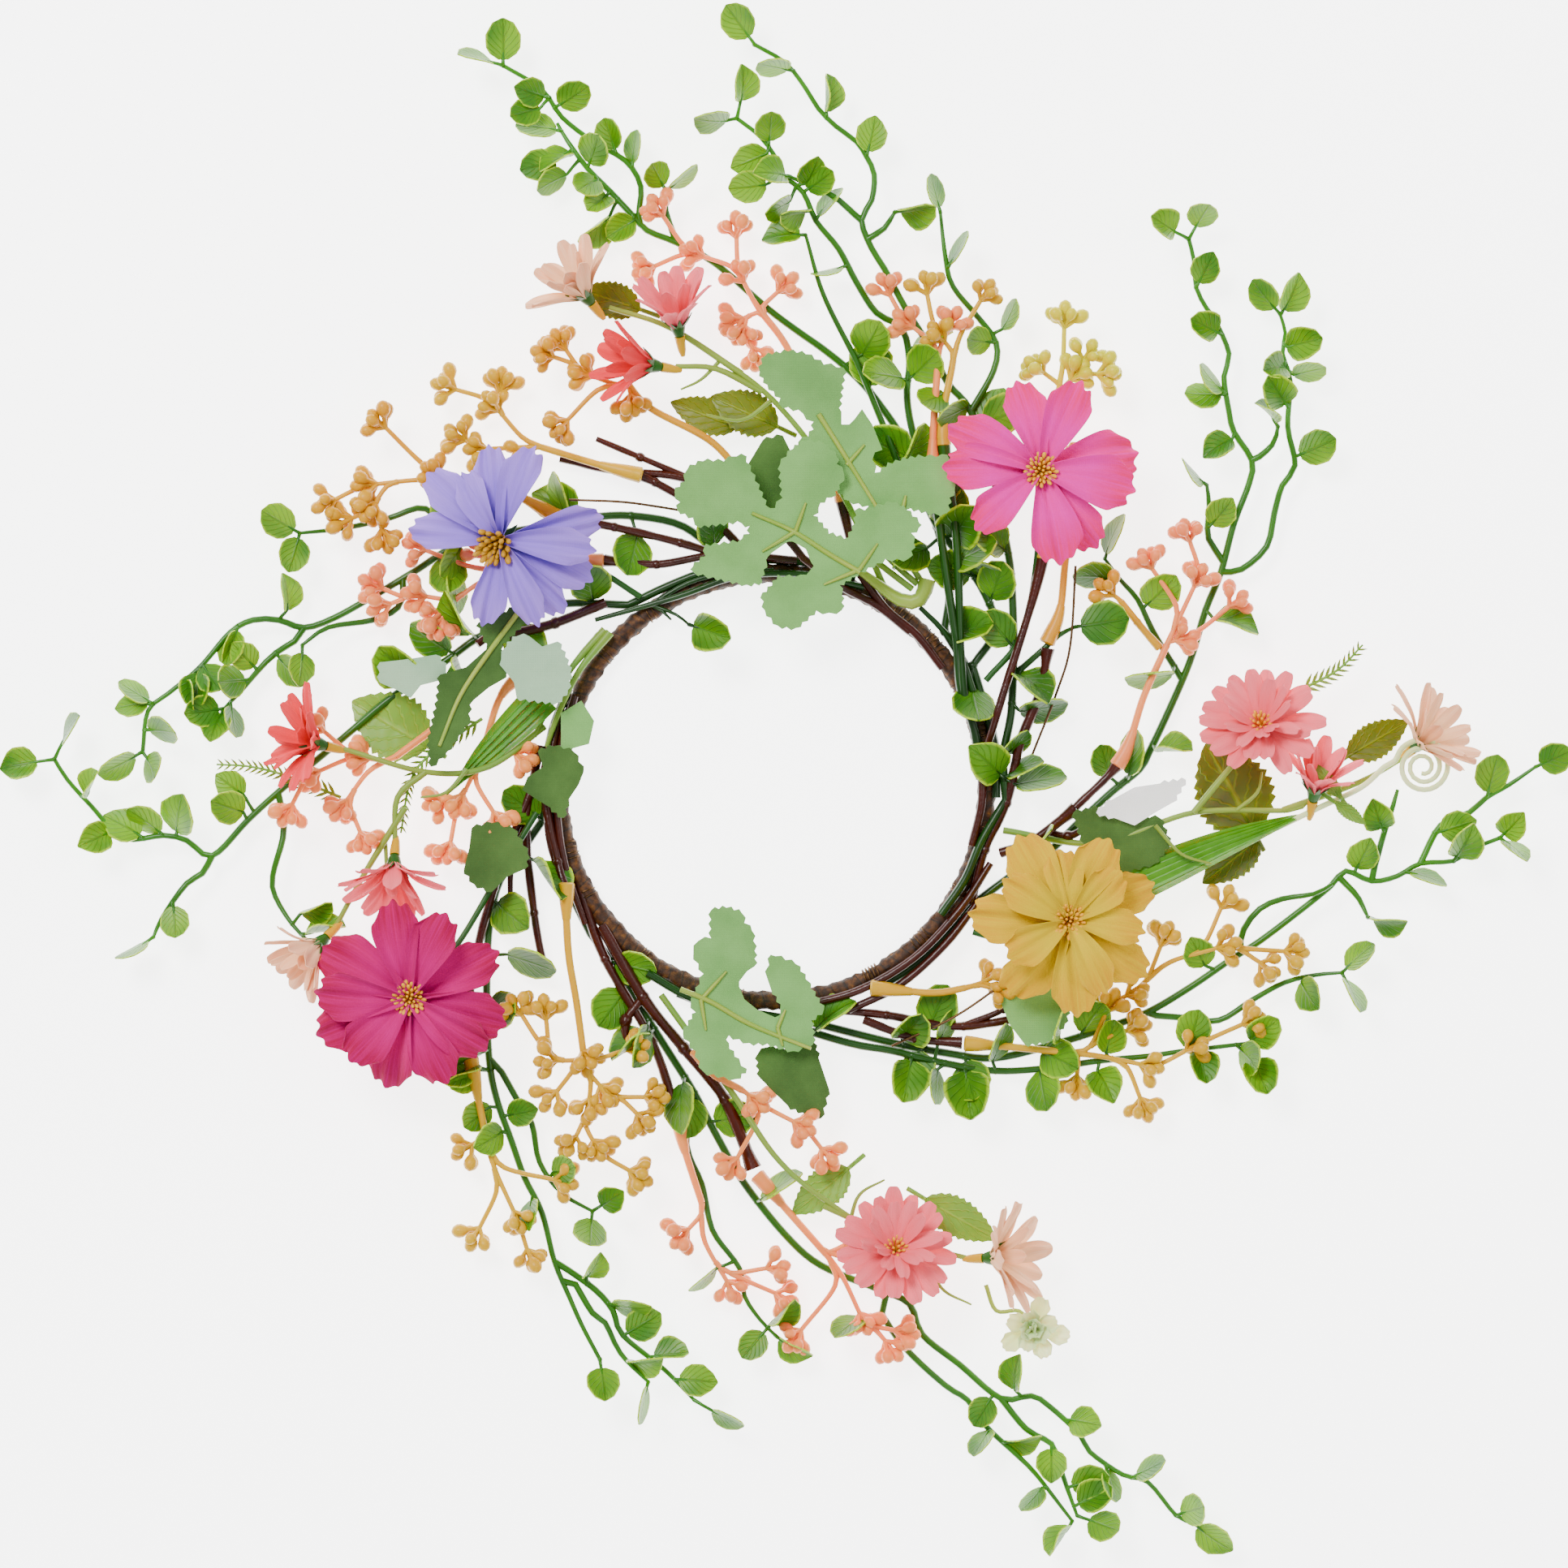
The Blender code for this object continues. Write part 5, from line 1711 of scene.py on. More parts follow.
VINES = [
    Vine(
        "vine_top_left", 12,
        [
            [(68, 62), (70, 80), (65, 103), (54, 133), (41, 153), (31, 164), (20, 173), (10, 180), (-2, 189),
             (-23, 207),
             (-38, 215), (-52, 222), (-52, 237), (-58, 247), (-70, 254), (-83, 264), (-91, 275), (-106, 284)],
            [(-52, 222), (-64, 235), (-73, 244), (-81, 255), (-85, 262)],
            [(-38, 215), (-42, 227), (-42, 235)],
        ],
        [(-118, 287), (-106, 292), (-45, 240), (-39, 235), (-88, 274), (-81, 269), (-98, 265), (-82, 260), (-86, 247),
         (-95, 243), (-88, 238), (-62, 249), (-70, 248), (-55, 247), (-75, 235), (-67, 230), (-71, 220), (-60, 220)],
        [(80, 62), (61, 101), (43, 181)],
    ),
    Vine(
        "vine_top_middle", 14,
        [
            [(79, 48), (88, 62), (84, 76), (75, 90), (65, 103), (59, 117), (58, 129), (54, 146), (53, 157), (54, 168),
             (51, 181), (41, 187), (33, 199), (26, 212), (17, 223), (12, 234), (4, 241), (1, 248), (-5, 256),
             (-14, 263)],
            [(54, 112), (49, 129), (41, 149), (33, 168), (20, 194), (13, 217)],
        ],
        [(-11, 277), (-26, 260), (-9, 246), (-10, 236), (-2, 250), (1, 226), (5, 217), (11, 225), (21, 227), (26, 203),
         (17, 243), (18, 236)],
        [(26, 69), (77, 2), (46, 160), (58, 161), (61, 174), (48, 122), (77, 107), (35, 76)],
    ),
    Vine(
        "vine_top_right", 16,
        [
            [(92, -5), (91, 12), (94, 29), (95, 50), (95, 64), (94, 84), (92, 97), (87, 122), (78, 148), (69, 159),
             (62, 173), (52, 189), (44, 204), (39, 212), (35, 223), (39, 231), (40, 241), (37, 248), (33, 254),
             (25, 260),
             (18, 267), (13, 275), (5, 285), (-7, 292)],
            [(78, 148), (87, 164), (88, 175), (81, 185), (71, 197), (68, 208), (66, 226)],
            [(35, 223), (23, 233), (7, 240)],
            [(95, 44), (104, 52), (113, 60), (119, 63)],
            [(38, 216), (44, 220), (48, 226)],
        ],
        [(-14, 301), (49, 229), (64, 233), (69, 204), (94, 186), (7, 279), (21, 262), (37, 248), (88, 12), (0, 241),
         (70, 146), (61, 151), (82, 174)],
        [(127, 64), (106, 3), (107, 31), (95, 57), (84, 84), (105, 39), (98, 6), (90, 143)],
    ),
    Vine(
        "vine_right_high", 12,
        [
            [(81, -45), (96, -34), (111, -24), (119, -16), (134, -2), (145, 7), (149, 14), (157, 31), (165, 50),
             (171, 70),
             (177, 85), (182, 104), (188, 120), (189, 129), (182, 140), (180, 148), (178, 162), (180, 171), (174, 185),
             (171, 189), (167, 197), (166, 208), (164, 216)],
            [(177, 85), (185, 86), (195, 95), (198, 108), (201, 119), (206, 127), (203, 142), (204, 160), (201, 171),
             (202, 179), (200, 186)],
            [(189, 128), (197, 135), (199, 142)],
            [(161, 44), (150, 62), (144, 74), (137, 82), (131, 90)],
            [(178, 90), (172, 98), (172, 111), (171, 119)],
        ],
        [(152, 222), (170, 227), (193, 194), (204, 193), (164, 195), (180, 180), (180, 156), (173, 153), (202, 151),
         (194, 149), (175, 134), (165, 123), (210, 175), (212, 164), (195, 164), (211, 131), (170, 104), (131, 11),
         (159, 14)],
        [(183, 65), (152, 74), (148, 43), (136, 84), (128, 93), (139, 6)],
    ),
    Vine(
        "vine_right_low", 14,
        [
            [(15, -93), (47, -101), (68, -105), (88, -107), (113, -101), (132, -95), (148, -89), (165, -79), (181, -68),
             (192, -61), (209, -48), (220, -39), (226, -33), (236, -37), (246, -35), (255, -30), (268, -29), (276, -24),
             (286, -20)],
            [(255, -30), (263, -15), (274, -10), (281, -4), (290, 1), (300, 8)],
            [(236, -35), (243, -11), (246, -1)],
            [(184, -65), (186, -56), (192, -48), (201, -44), (213, -42), (220, -38)],
            [(148, -90), (162, -91), (176, -92), (189, -84), (202, -77), (214, -74), (224, -73)],
            [(224, -36), (231, -44), (234, -51)],
        ],
        [(291, -14), (292, -24), (306, 11), (231, -66), (229, -83), (240, -19), (230, -28), (262, -21), (252, -36),
         (267, -33), (281, -4), (234, -53), (167, -64), (211, -84)],
        [(74, -31), (56, -92), (110, -92)],
    ),
    Vine(
        "vine_bottom_right", 10,
        [[(0, -92), (30, -101), (47, -104), (68, -109), (88, -112), (108, -111), (129, -108), (149, -106), (162, -104),
          (187, -101)]],
        [(64, -119), (133, -98), (132, -119), (166, -95), (169, -111), (184, -105), (194, -95), (192, -115), (70, -89)],
        [(20, -90), (52, -112), (90, -100)],
    ),
    Vine(
        "vine_bottom_long", 12,
        [
            [(-72, -58), (-66, -66), (-55, -83), (-41, -105), (-31, -121), (-21, -140), (-11, -157), (5, -177),
             (19, -189),
             (41, -198), (54, -204), (59, -216), (74, -228), (90, -241), (102, -240), (109, -244), (121, -255),
             (125, -262), (138, -271), (148, -274), (159, -287), (166, -290)],
            [(90, -241), (100, -253), (110, -259), (113, -267), (116, -276), (120, -287)],
            [(41, -205), (52, -221), (68, -236), (77, -242), (84, -252), (97, -264), (104, -271), (118, -289)],
            [(-29, -129), (-34, -137), (-33, -146), (-28, -157), (-25, -171), (-22, -178), (-13, -190), (-11, -201),
             (-5, -210), (1, -216)],
        ],
        [(172, -295), (113, -297), (132, -291), (116, -248), (132, -265), (142, -274), (163, -284), (110, -259),
         (121, -273), (123, -281), (95, -230), (84, -242), (81, -259), (92, -258), (102, -281), (5, -219), (26, -213),
         (-27, -195), (-8, -220), (3, -207)],
        [(-67, -69), (-46, -92), (-30, -112), (-20, -130)],
    ),
    Vine(
        "vine_bottom_left", 12,
        [
            [(-91, -13), (-100, -26), (-108, -37), (-112, -54), (-113, -80), (-112, -107), (-109, -123), (-103, -140),
             (-98, -154), (-91, -168), (-86, -187), (-80, -201), (-75, -212), (-68, -225)],
            [(-80, -192), (-71, -207), (-66, -211), (-60, -223), (-49, -234)],
            [(-84, -188), (-70, -198), (-63, -206), (-59, -216), (-42, -230), (-31, -241)],
            [(-109, -109), (-101, -123), (-95, -133), (-92, -148), (-83, -160), (-71, -167)],
        ],
        [(-66, -236), (-51, -242), (-37, -233), (-17, -249), (-62, -161), (-117, -130), (-103, -128), (-131, -114),
         (-124, -113), (-113, -140), (-80, -150), (-93, -159), (-72, -178), (-69, -188), (-62, -201), (-54, -211),
         (-50, -224), (-60, -228)],
        [(-79, -68), (-88, -38), (-95, -8), (-103, -48), (-104, -88)],
    ),
    Vine(
        "vine_left_high", 12,
        [
            [(-20, 91), (-35, 103), (-52, 107), (-69, 107), (-97, 102), (-122, 97), (-142, 85), (-157, 76), (-173, 67),
             (-185, 63), (-195, 66), (-205, 66), (-214, 61), (-226, 47), (-238, 37), (-246, 30), (-248, 14)],
            [(-185, 60), (-196, 53), (-203, 46), (-209, 39), (-216, 31)],
            [(-145, 80), (-148, 71), (-158, 66), (-175, 63), (-185, 56)],
            [(-127, 97), (-137, 110), (-152, 106), (-170, 102), (-186, 100)],
        ],
        [(-258, 8), (-242, 6), (-219, 24), (-195, 105), (-188, 92), (-191, 77), (-213, 67), (-209, 60), (-227, 47),
         (-247, 36), (-242, 31), (-242, 24), (-205, 50), (-192, 50), (-220, 42), (-216, 37), (-223, 30), (-203, 42),
         (-185, 46), (-229, 39)],
        [(-56, 90), (-26, 93), (-82, 113), (-126, 85), (-123, 75)],
    ),
    Vine(
        "vine_left_low", 13,
        [
            [(-57, 72), (-86, 72), (-113, 61), (-129, 50), (-151, 35), (-170, 19), (-195, -2), (-207, -13), (-221, -27),
             (-231, -21), (-240, -19), (-256, -20), (-269, -7), (-278, 3), (-283, 11)],
            [(-221, -27), (-225, -34), (-231, -38), (-241, -52), (-244, -59)],
            [(-193, -8), (-193, -20), (-197, -35), (-196, -43), (-189, -54), (-182, -61)],
        ],
        [(-297, 9), (-275, 27), (-252, -65), (-267, 2), (-268, -21), (-248, -21), (-242, -16), (-238, -43), (-216, -7),
         (-215, 3), (-179, -47), (-190, -59)],
        [(-232, -12), (-72, 84), (-98, 60), (-120, 46)],
    ),
    Vine(
        "loose_sprig", 14,
        [[(-48, 72), (-38, 68), (-33, 64)], [(-48, 74), (-44, 70), (-40, 66)]],
        [],
        [(-27, 62)],
        1.1, False, 9.0,
    ),
]

SPRAYS = [
    BerrySpray(
        "spray_gold_left", Finish.YELLOW, "yellow", 0, [(-52, 123), (-68, 127), (-91, 134)],
        [(-130, 159), (-108, 161), (-126, 139), (-118, 133), (-101, 130), (-108, 123), (-112, 152)],
        "berries_gold_left",
    ),
    BerrySpray(
        "spray_orange_left", Finish.ORANGE, "orange", 0, [(-84, 106), (-104, 116), (-128, 120)],
        [(-156, 145), (-177, 111), (-161, 119), (-160, 108), (-153, 96), (-170, 103), (-135, 124)],
        "berries_orange_left",
    ),
    BerrySpray(
        "spray_gold_top", Finish.ORANGE, "yellow", 0, [(12, 90), (-8, 116), (-23, 135), (-48, 149), (-58, 160)],
        [(-85, 176), (-91, 171), (-76, 163), (-55, 149), (-85, 141)], "berries_gold_top", collar=0, twig=22,
    ),
    BerrySpray(
        "spray_pink_left", Finish.PINK, "pink", 0, [(-67, 89), (-90, 90), (-108, 84)],
        [(-159, 80), (-156, 71), (-142, 75), (-135, 66), (-132, 61), (-142, 95), (-118, 94)], "berries_pink_left",
    ),
    BerrySpray(
        "spray_peach_top", Finish.PEACH, "peach", 0, [(33, 86), (22, 135), (7, 171), (-5, 188)],
        [(-15, 222), (-14, 204), (5, 200), (-32, 212), (-52, 204), (-47, 229), (-13, 177), (-6, 168), (-17, 184)],
        "berries_peach_top", collar=0, twig=26,
    ),
    BerrySpray(
        "spray_mixed_top_right", Finish.PEACH, "peach", 0, [(72, 58), (66, 100), (63, 131), (65, 168)],
        [(43, 198), (52, 185), (71, 185)], "berries_mixed_top_right", collar=0, twig=64, wood=Finish.VINE,
    ),
    BerrySpray(
        "spray_gold_top_right", Finish.YELLOW, "yellow", 16, [(74, 54), (72, 100), (67, 140), (71, 168)],
        [(59, 199), (84, 196), (65, 180)], collar=0, twig=78, wood=Finish.VINE,
    ),
    BerrySpray(
        "spray_lime_right", Finish.LIME, "lime", 0, [(88, 28), (106, 90), (110, 148), (113, 156)],
        [(115, 186), (103, 167), (125, 172), (133, 163), (121, 164)], "berries_lime_right", collar=0, twig=64,
    ),
    BerrySpray(
        "spray_orange_right", Finish.ORANGE, "orange", 14, [(108, 57), (113, 69), (115, 87), (118, 112)],
        [(123, 133), (134, 131)],
    ),
    BerrySpray(
        "spray_pink_right", Finish.PINK, "pink", 0, [(119, -8), (137, 11), (146, 36), (155, 56)],
        [(163, 102), (147, 91), (168, 84), (184, 74), (163, 60)], "berries_pink_right", twig=24,
    ),
    BerrySpray(
        "spray_amber_right", Finish.ORANGE, "orange", 15, [(152, 55), (145, 63), (137, 73)], [(130, 79)], collar=1.7,
    ),
    BerrySpray(
        "spray_gold_inner_right", Finish.YELLOW, "yellow", 12, [(39, -79), (63, -81), (76, -79)], [(88, -75),
                                                                                                   (92, -80)],
    ),
    BerrySpray(
        "spray_gold_low_right", Finish.YELLOW, "yellow", 0, [(76, -101), (90, -102), (121, -105)],
        [(180, -43), (156, -58), (144, -79), (135, -84), (145, -94), (150, -110), (121, -119), (148, -127), (168, -102),
         (190, -91), (197, -71), (180, -61), (207, -65)],
        "berries_gold_low_right",
    ),
    BerrySpray(
        "spray_gold_bottom", Finish.YELLOW, "yellow", 0, [(-81, -38), (-81, -52), (-80, -67), (-77, -85), (-74, -107)],
        [(-90, -109), (-72, -108), (-52, -103), (-72, -128), (-65, -122), (-88, -124), (-45, -123), (-49, -132),
         (-79, -142), (-69, -144), (-52, -154), (-102, -85), (-91, -86)],
        "berries_gold_bottom",
    ),
    BerrySpray(
        "spray_gold_low_left", Finish.YELLOW, "yellow", 0, [(-119, -107), (-116, -123), (-113, -138)],
        [(-122, -145), (-117, -179), (-100, -172), (-95, -187), (-81, -157)], "berries_gold_low_left",
    ),
    BerrySpray(
        "spray_peach_left", Finish.PEACH, "peach", 0, [(-122, 36), (-131, 25), (-148, 12)],
        [(-181, 25), (-183, 5), (-192, -11), (-171, -9), (-161, -23), (-164, 11)], "berries_peach_left",
    ),
    BerrySpray(
        "spray_peach_inner_left", Finish.PEACH, "peach", 12, [(-96, 47), (-107, 36), (-113, 18)],
        [(-97, 10), (-134, -8), (-124, -8), (-108, -15), (-128, -27)],
    ),
    BerrySpray(
        "spray_peach_low", Finish.PEACH, "peach", 17, [(-30, -103), (-22, -113), (-12, -119)],
        [(-5, -124), (13, -134), (23, -146), (-15, -151)],
    ),
    BerrySpray(
        "spray_peach_bottom", Finish.PEACH, "peach", 0, [(-6, -153), (6, -167), (21, -184)],
        [(34, -179), (53, -193), (37, -212), (48, -222), (53, -216), (9, -219)], "berries_peach_bottom",
    ),
    BerrySpray(
        "spray_peach_low_left", Finish.PEACH, "peach", 9, [(-37, -130), (-35, -142), (-28, -164)],
        [(-36, -179), (-16, -200), (3, -190), (6, -202)],
    ),
]

TWIGS = [
    Twig("twig_bottom_bars", 0, [[(26, -88), (45, -90), (75, -94), (115, -87)], [(75, -94), (92, -88), (104, -77)]],
         "twig_bottom"),
    Twig("twig_top_left_bars", 0, [[(26, 88), (0, 108), (-33, 122), (-62, 125), (-84, 130)],
                                   [(-33, 122), (-52, 130), (-70, 138)]], "twig_top_left"),
    Twig("twig_bottom_left_bars", 0, [[(-92, 17), (-97, -14), (-94, -50), (-90, -75)], [(-97, -14), (-103, -30),
                                                                                        (-104, -50)]],
         "twig_bottom_left"),
    Twig("twig_gold_left", 7, [[(-8, 90), (-26, 108), (-46, 120), (-54, 123.5)]], socket=True),
    Twig("twig_knotted_left", 12, [[(-66, 73), (-86, 65), (-104, 59), (-114, 48), (-121, 37)], [(-104, 59),
                                                                                                (-111, 60),
                                                                                                (-116, 56)]],
         radius=2.1, socket=True, rise_to=15),
    Twig("twig_pink_right", 8, [[(90, -26), (102, -21), (119, -8)], [(107, -17), (116, -19), (124, -16)]], radius=2.0,
         socket=True, rise_to=15),
    Twig("twig_pink_left", 10, [[(10, 89), (-20, 92), (-46, 88), (-66, 89)]], socket=True, rise_to=10.6),
    Twig("twig_orange_left", 8, [[(-10, 88), (-36, 96), (-62, 102), (-83, 106)]], socket=True, rise_to=16),
    Twig("twig_inner_right", 7, [[(78, -46), (84, -25), (92, -6), (98, 17), (105, 38), (108, 55)]],
         radius=1.9, socket=True, rise_to=14),
    Twig("twig_low_right", 8, [[(36, -92), (56, -99), (75, -101)]], socket=True, rise_to=10),
    Twig("twig_gold_low_left", 8, [[(-86, 25), (-90, 0), (-84, -30), (-82, -39)]], socket=True, rise_to=14),
    Twig("twig_far_left", 6, [[(-93, 4), (-110, -40), (-120, -80), (-119, -106)]], socket=True, rise_to=9),
    Twig("twig_thick_bottom", 8, [[(-68, -54), (-51, -83), (-35, -103), (-19, -123), (-8, -150)], [(-51, -83),
                                                                                                   (-58, -92),
                                                                                                   (-58, -99)]],
         radius=2.3, socket=True, rise_to=9),
    Twig("twig_thick_second", 6, [[(-78, -36), (-66, -68), (-48, -100), (-38, -128)]],
         radius=1.9, socket=True, rise_to=8),
]

BOUND_STEMS = [
    BoundStems("stem_over_top", Finish.VINE, "green", [1.3, 1.4, 1.3, 0.9],
               [[(36, 79, 9), (12, 84, 10.6), (-14, 83, 10.8), (-38, 75, 10.8), (-70, 66, 9)]]),
    BoundStems("stem_by_right", Finish.VINE, "green", [1.5, 1.4, 1.2, 1.0],
               [[(79, 38, 9.4), (74, 52, 10.4), (67, 62, 10.6), (58, 71, 10.6)]]),
    BoundStems("socket_right", Finish.RIB, "stalk_green", [1.0, 1.3, 2.2, 3.0, 3.3],
               [[(24, 92, 11), (36, 84, 12), (50, 74, 12.5), (58, 74, 13), (61, 82, 13.5)]]),
    BoundStems("bundle_right", Finish.STALK, "stalk_green", [1.3, 1.3, 1.2],
               [[(57, 80, 12), (50, 86, 13), (42, 94, 13)], [(55, 78, 12.5), (47, 84, 14), (38, 91, 14)],
                [(58, 82, 12), (53, 89, 12.5), (46, 96, 12)]]),
    BoundStems("bundle_left", Finish.STALK, "stalk_green", [1.9, 1.3, 1.2, 1.0],
               [[(-66, 62, 11), (-77, 50, 12), (-86, 36, 12), (-94, 20, 10)], [(-68, 60, 11), (-80, 46, 12),
                                                                               (-90, 30, 11)],
                [(-64, 61, 12), (-76, 46, 13), (-84, 30, 13), (-89, 16, 12)]]),
    BoundStems("twigs_inside_left", Finish.TWIG, "twig_brown", [1.6, 1.7, 1.5, 1.6, 1.3],
               [[(-78, 36, 10), (-83, 18, 10.8), (-85, -6, 10.8), (-82, -30, 10.8), (-74, -54, 9)],
                [(-84, 30, 9), (-88, 6, 10.4), (-88, -20, 10.4), (-80, -44, 10)]]),
    BoundStems("twigs_low_right", Finish.TWIG, "twig_brown", [1.5, 1.7, 1.6, 1.7, 1.4],
               [[(12, -86, 9), (34, -80, 10.8), (56, -67, 10.8), (74, -48, 10.6), (86, -30, 9)],
                [(30, -88, 8), (50, -78, 10), (68, -62, 10.2), (82, -44, 9)]]),
    BoundStems("thin_wires", Finish.DARK_WIRE, "dark_wire", [0.5],
               [[(-80, 113, 16), (-58, 112, 17), (-36, 109, 13)], [(119, 87, 18), (117, 56, 17), (112, 38, 15),
                                                                   (102, 12, 11)],
                [(95, -74, 15), (72, -90, 15), (47, -102, 10)]]),
]

BLOSSOMS = [
    Cosmos(
        "cosmos_pink", Finish.HOT_PINK, "hot_pink", [(84, 42), (98, 60), (104, 92)],
        [(12, 2, 1.06, 3), (-54, 2, 1.0, 1), (-78, 6, 1.02, 0), (178, 2, 1.04, 0), (152, 5, 1.08, 3), (104, 3, 0.98, 1),
         (66, 7, 1.04, 0), (-12, 8, 1.02, 0), (-138, 6, 0.96, 2)],
    ),
    Cosmos(
        "cosmos_magenta", Finish.MAGENTA, "magenta", [(-93, -10), (-108, -35), (-124, -62)],
        [(28, 2, 1.06, 0), (-16, 2, 1.04, 1), (-66, 3, 0.98, 0), (-108, 3, 0.98, 3), (-158, 3, 1.06, 0),
         (150, 3, 1.08, 1),
         (100, 4, 1.06, 0), (64, 9, 1.02, 2), (-36, 10, 0.96, 3), (-134, 9, 0.92, 2), (176, 9, 1.0, 0)],
    ),
    Cosmos(
        "cosmos_yellow", Finish.SUNFLOWER, "sunflower", [(79, -57), (92, -60), (104, -56)],
        [(24, 2, 1.0, 3), (-36, 2, 1.02, 1), (-84, 3, 1.02, 0), (-126, 3, 1.0, 3), (176, 3, 1.06, 0), (122, 3, 1.04, 1),
         (62, 4, 0.98, 2), (-8, 14, 0.82, 0), (44, 16, 0.8, 2), (96, 15, 0.74, 3), (148, 14, 0.84, 0),
         (-152, 16, 0.8, 2),
         (-62, 15, 0.84, 3)],
    ),
    Cosmos(
        "cosmos_lilac", Finish.LILAC, "lilac", [(-52, 75), (-70, 86), (-90, 92)],
        [(12, 2, 1.1, 3), (-22, 2, 1.04, 1), (-52, 3, 1.0, 3), (-102, 3, 0.92, 0), (172, 4, 0.98, 3), (138, 3, 1.06, 1),
         (98, 4, 1.02, 3), (70, 4, 1.06, 0), (-6, 12, 1.0, 1), (-66, 10, 0.98, 1), (122, 14, 0.8, 3)],
        Finish.MUSTARD, (-0.55, -0.6), 1.45, 30, 0.66,
    ),
]

DAISIES = [
    Daisy("daisy_peach_top", Finish.BLUSH, "blush", (-73, 192), 130, 30, 11, 5, 48),
    Daisy("daisy_pink_top", Finish.ROSE, "rose", (-37, 180), 100, 28, 10, 5, 40),
    Daisy("daisy_coral_top", Finish.CORAL, "coral", (-47, 165), 172, 25, 9, 4, 38),
    Daisy("daisy_pink_right", Finish.ROSE, "rose", (191, 24), 110, 62, 18, 12, 74, 1.0, True),
    Daisy("daisy_rose_right", Finish.ROSE, "rose", (212, -2), 82, 30, 9, 5, 36, 0.92),
    Daisy("daisy_peach_right", Finish.BLUSH, "blush", (253, 17), 42, 34, 12, 6, 56),
    Daisy("daisy_pink_bottom", Finish.ROSE, "rose", (48, -181), 80, 66, 18, 12, 76, 1.0, True),
    Daisy("daisy_peach_bottom", Finish.BLUSH, "blush", (86, -184), 5, 24, 12, 6, 58, 1.05),
    Daisy("daisy_coral_left", Finish.CORAL, "coral", (-178, 17), 165, 28, 12, 6, 60),
    Daisy("daisy_pink_left", Finish.ROSE, "rose", (-148, -30), 268, 28, 12, 6, 52),
    Daisy("daisy_peach_left", Finish.BLUSH, "blush", (-177, -61), 225, 26, 10, 5, 42, 0.95),
]

STALK_SPRAYS = [
    StalkSpray(
        "daisy_stalks_top",
        [[(44, 79), (26, 118), (0, 152), (-30, 174)], [(-12, 162), (-40, 180), (-64, 188)], [(-4, 155), (-22, 164),
                                                                                             (-38, 165)]],
        [[(-20, 168), (-28, 160), (-36, 156)], [(0, 152), (-12, 144), (-26, 146)]],
    ),
    StalkSpray(
        "daisy_stalks_right",
        [[(91, -17), (128, -22), (165, -10), (202, -9), (209, -6)], [(165, -10), (178, 6), (189, 18)],
         [(200, -9), (230, 2), (248, 12)]],
        [[(150, -15), (160, -26), (172, -30)], [(182, -9), (190, -2), (192, 6)]],
    ),
    StalkSpray(
        "daisy_stalks_bottom",
        [[(-44, -82), (-16, -120), (6, -150), (44, -178)], [(20, -164), (52, -178), (78, -185)]],
        [[(30, -172), (34, -160), (44, -154)], [(60, -181), (66, -196), (78, -203)]],
    ),
    StalkSpray(
        "daisy_stalks_left",
        [[(-90, 24), (-112, 8), (-136, 6), (-168, 15)], [(-136, 6), (-147, -4), (-148, -22)],
         [(-144, -8), (-160, -34), (-172, -56)]],
        [[(-120, 7), (-128, -2), (-138, -4)], [(-152, -22), (-150, -36), (-141, -44)]],
    ),
]

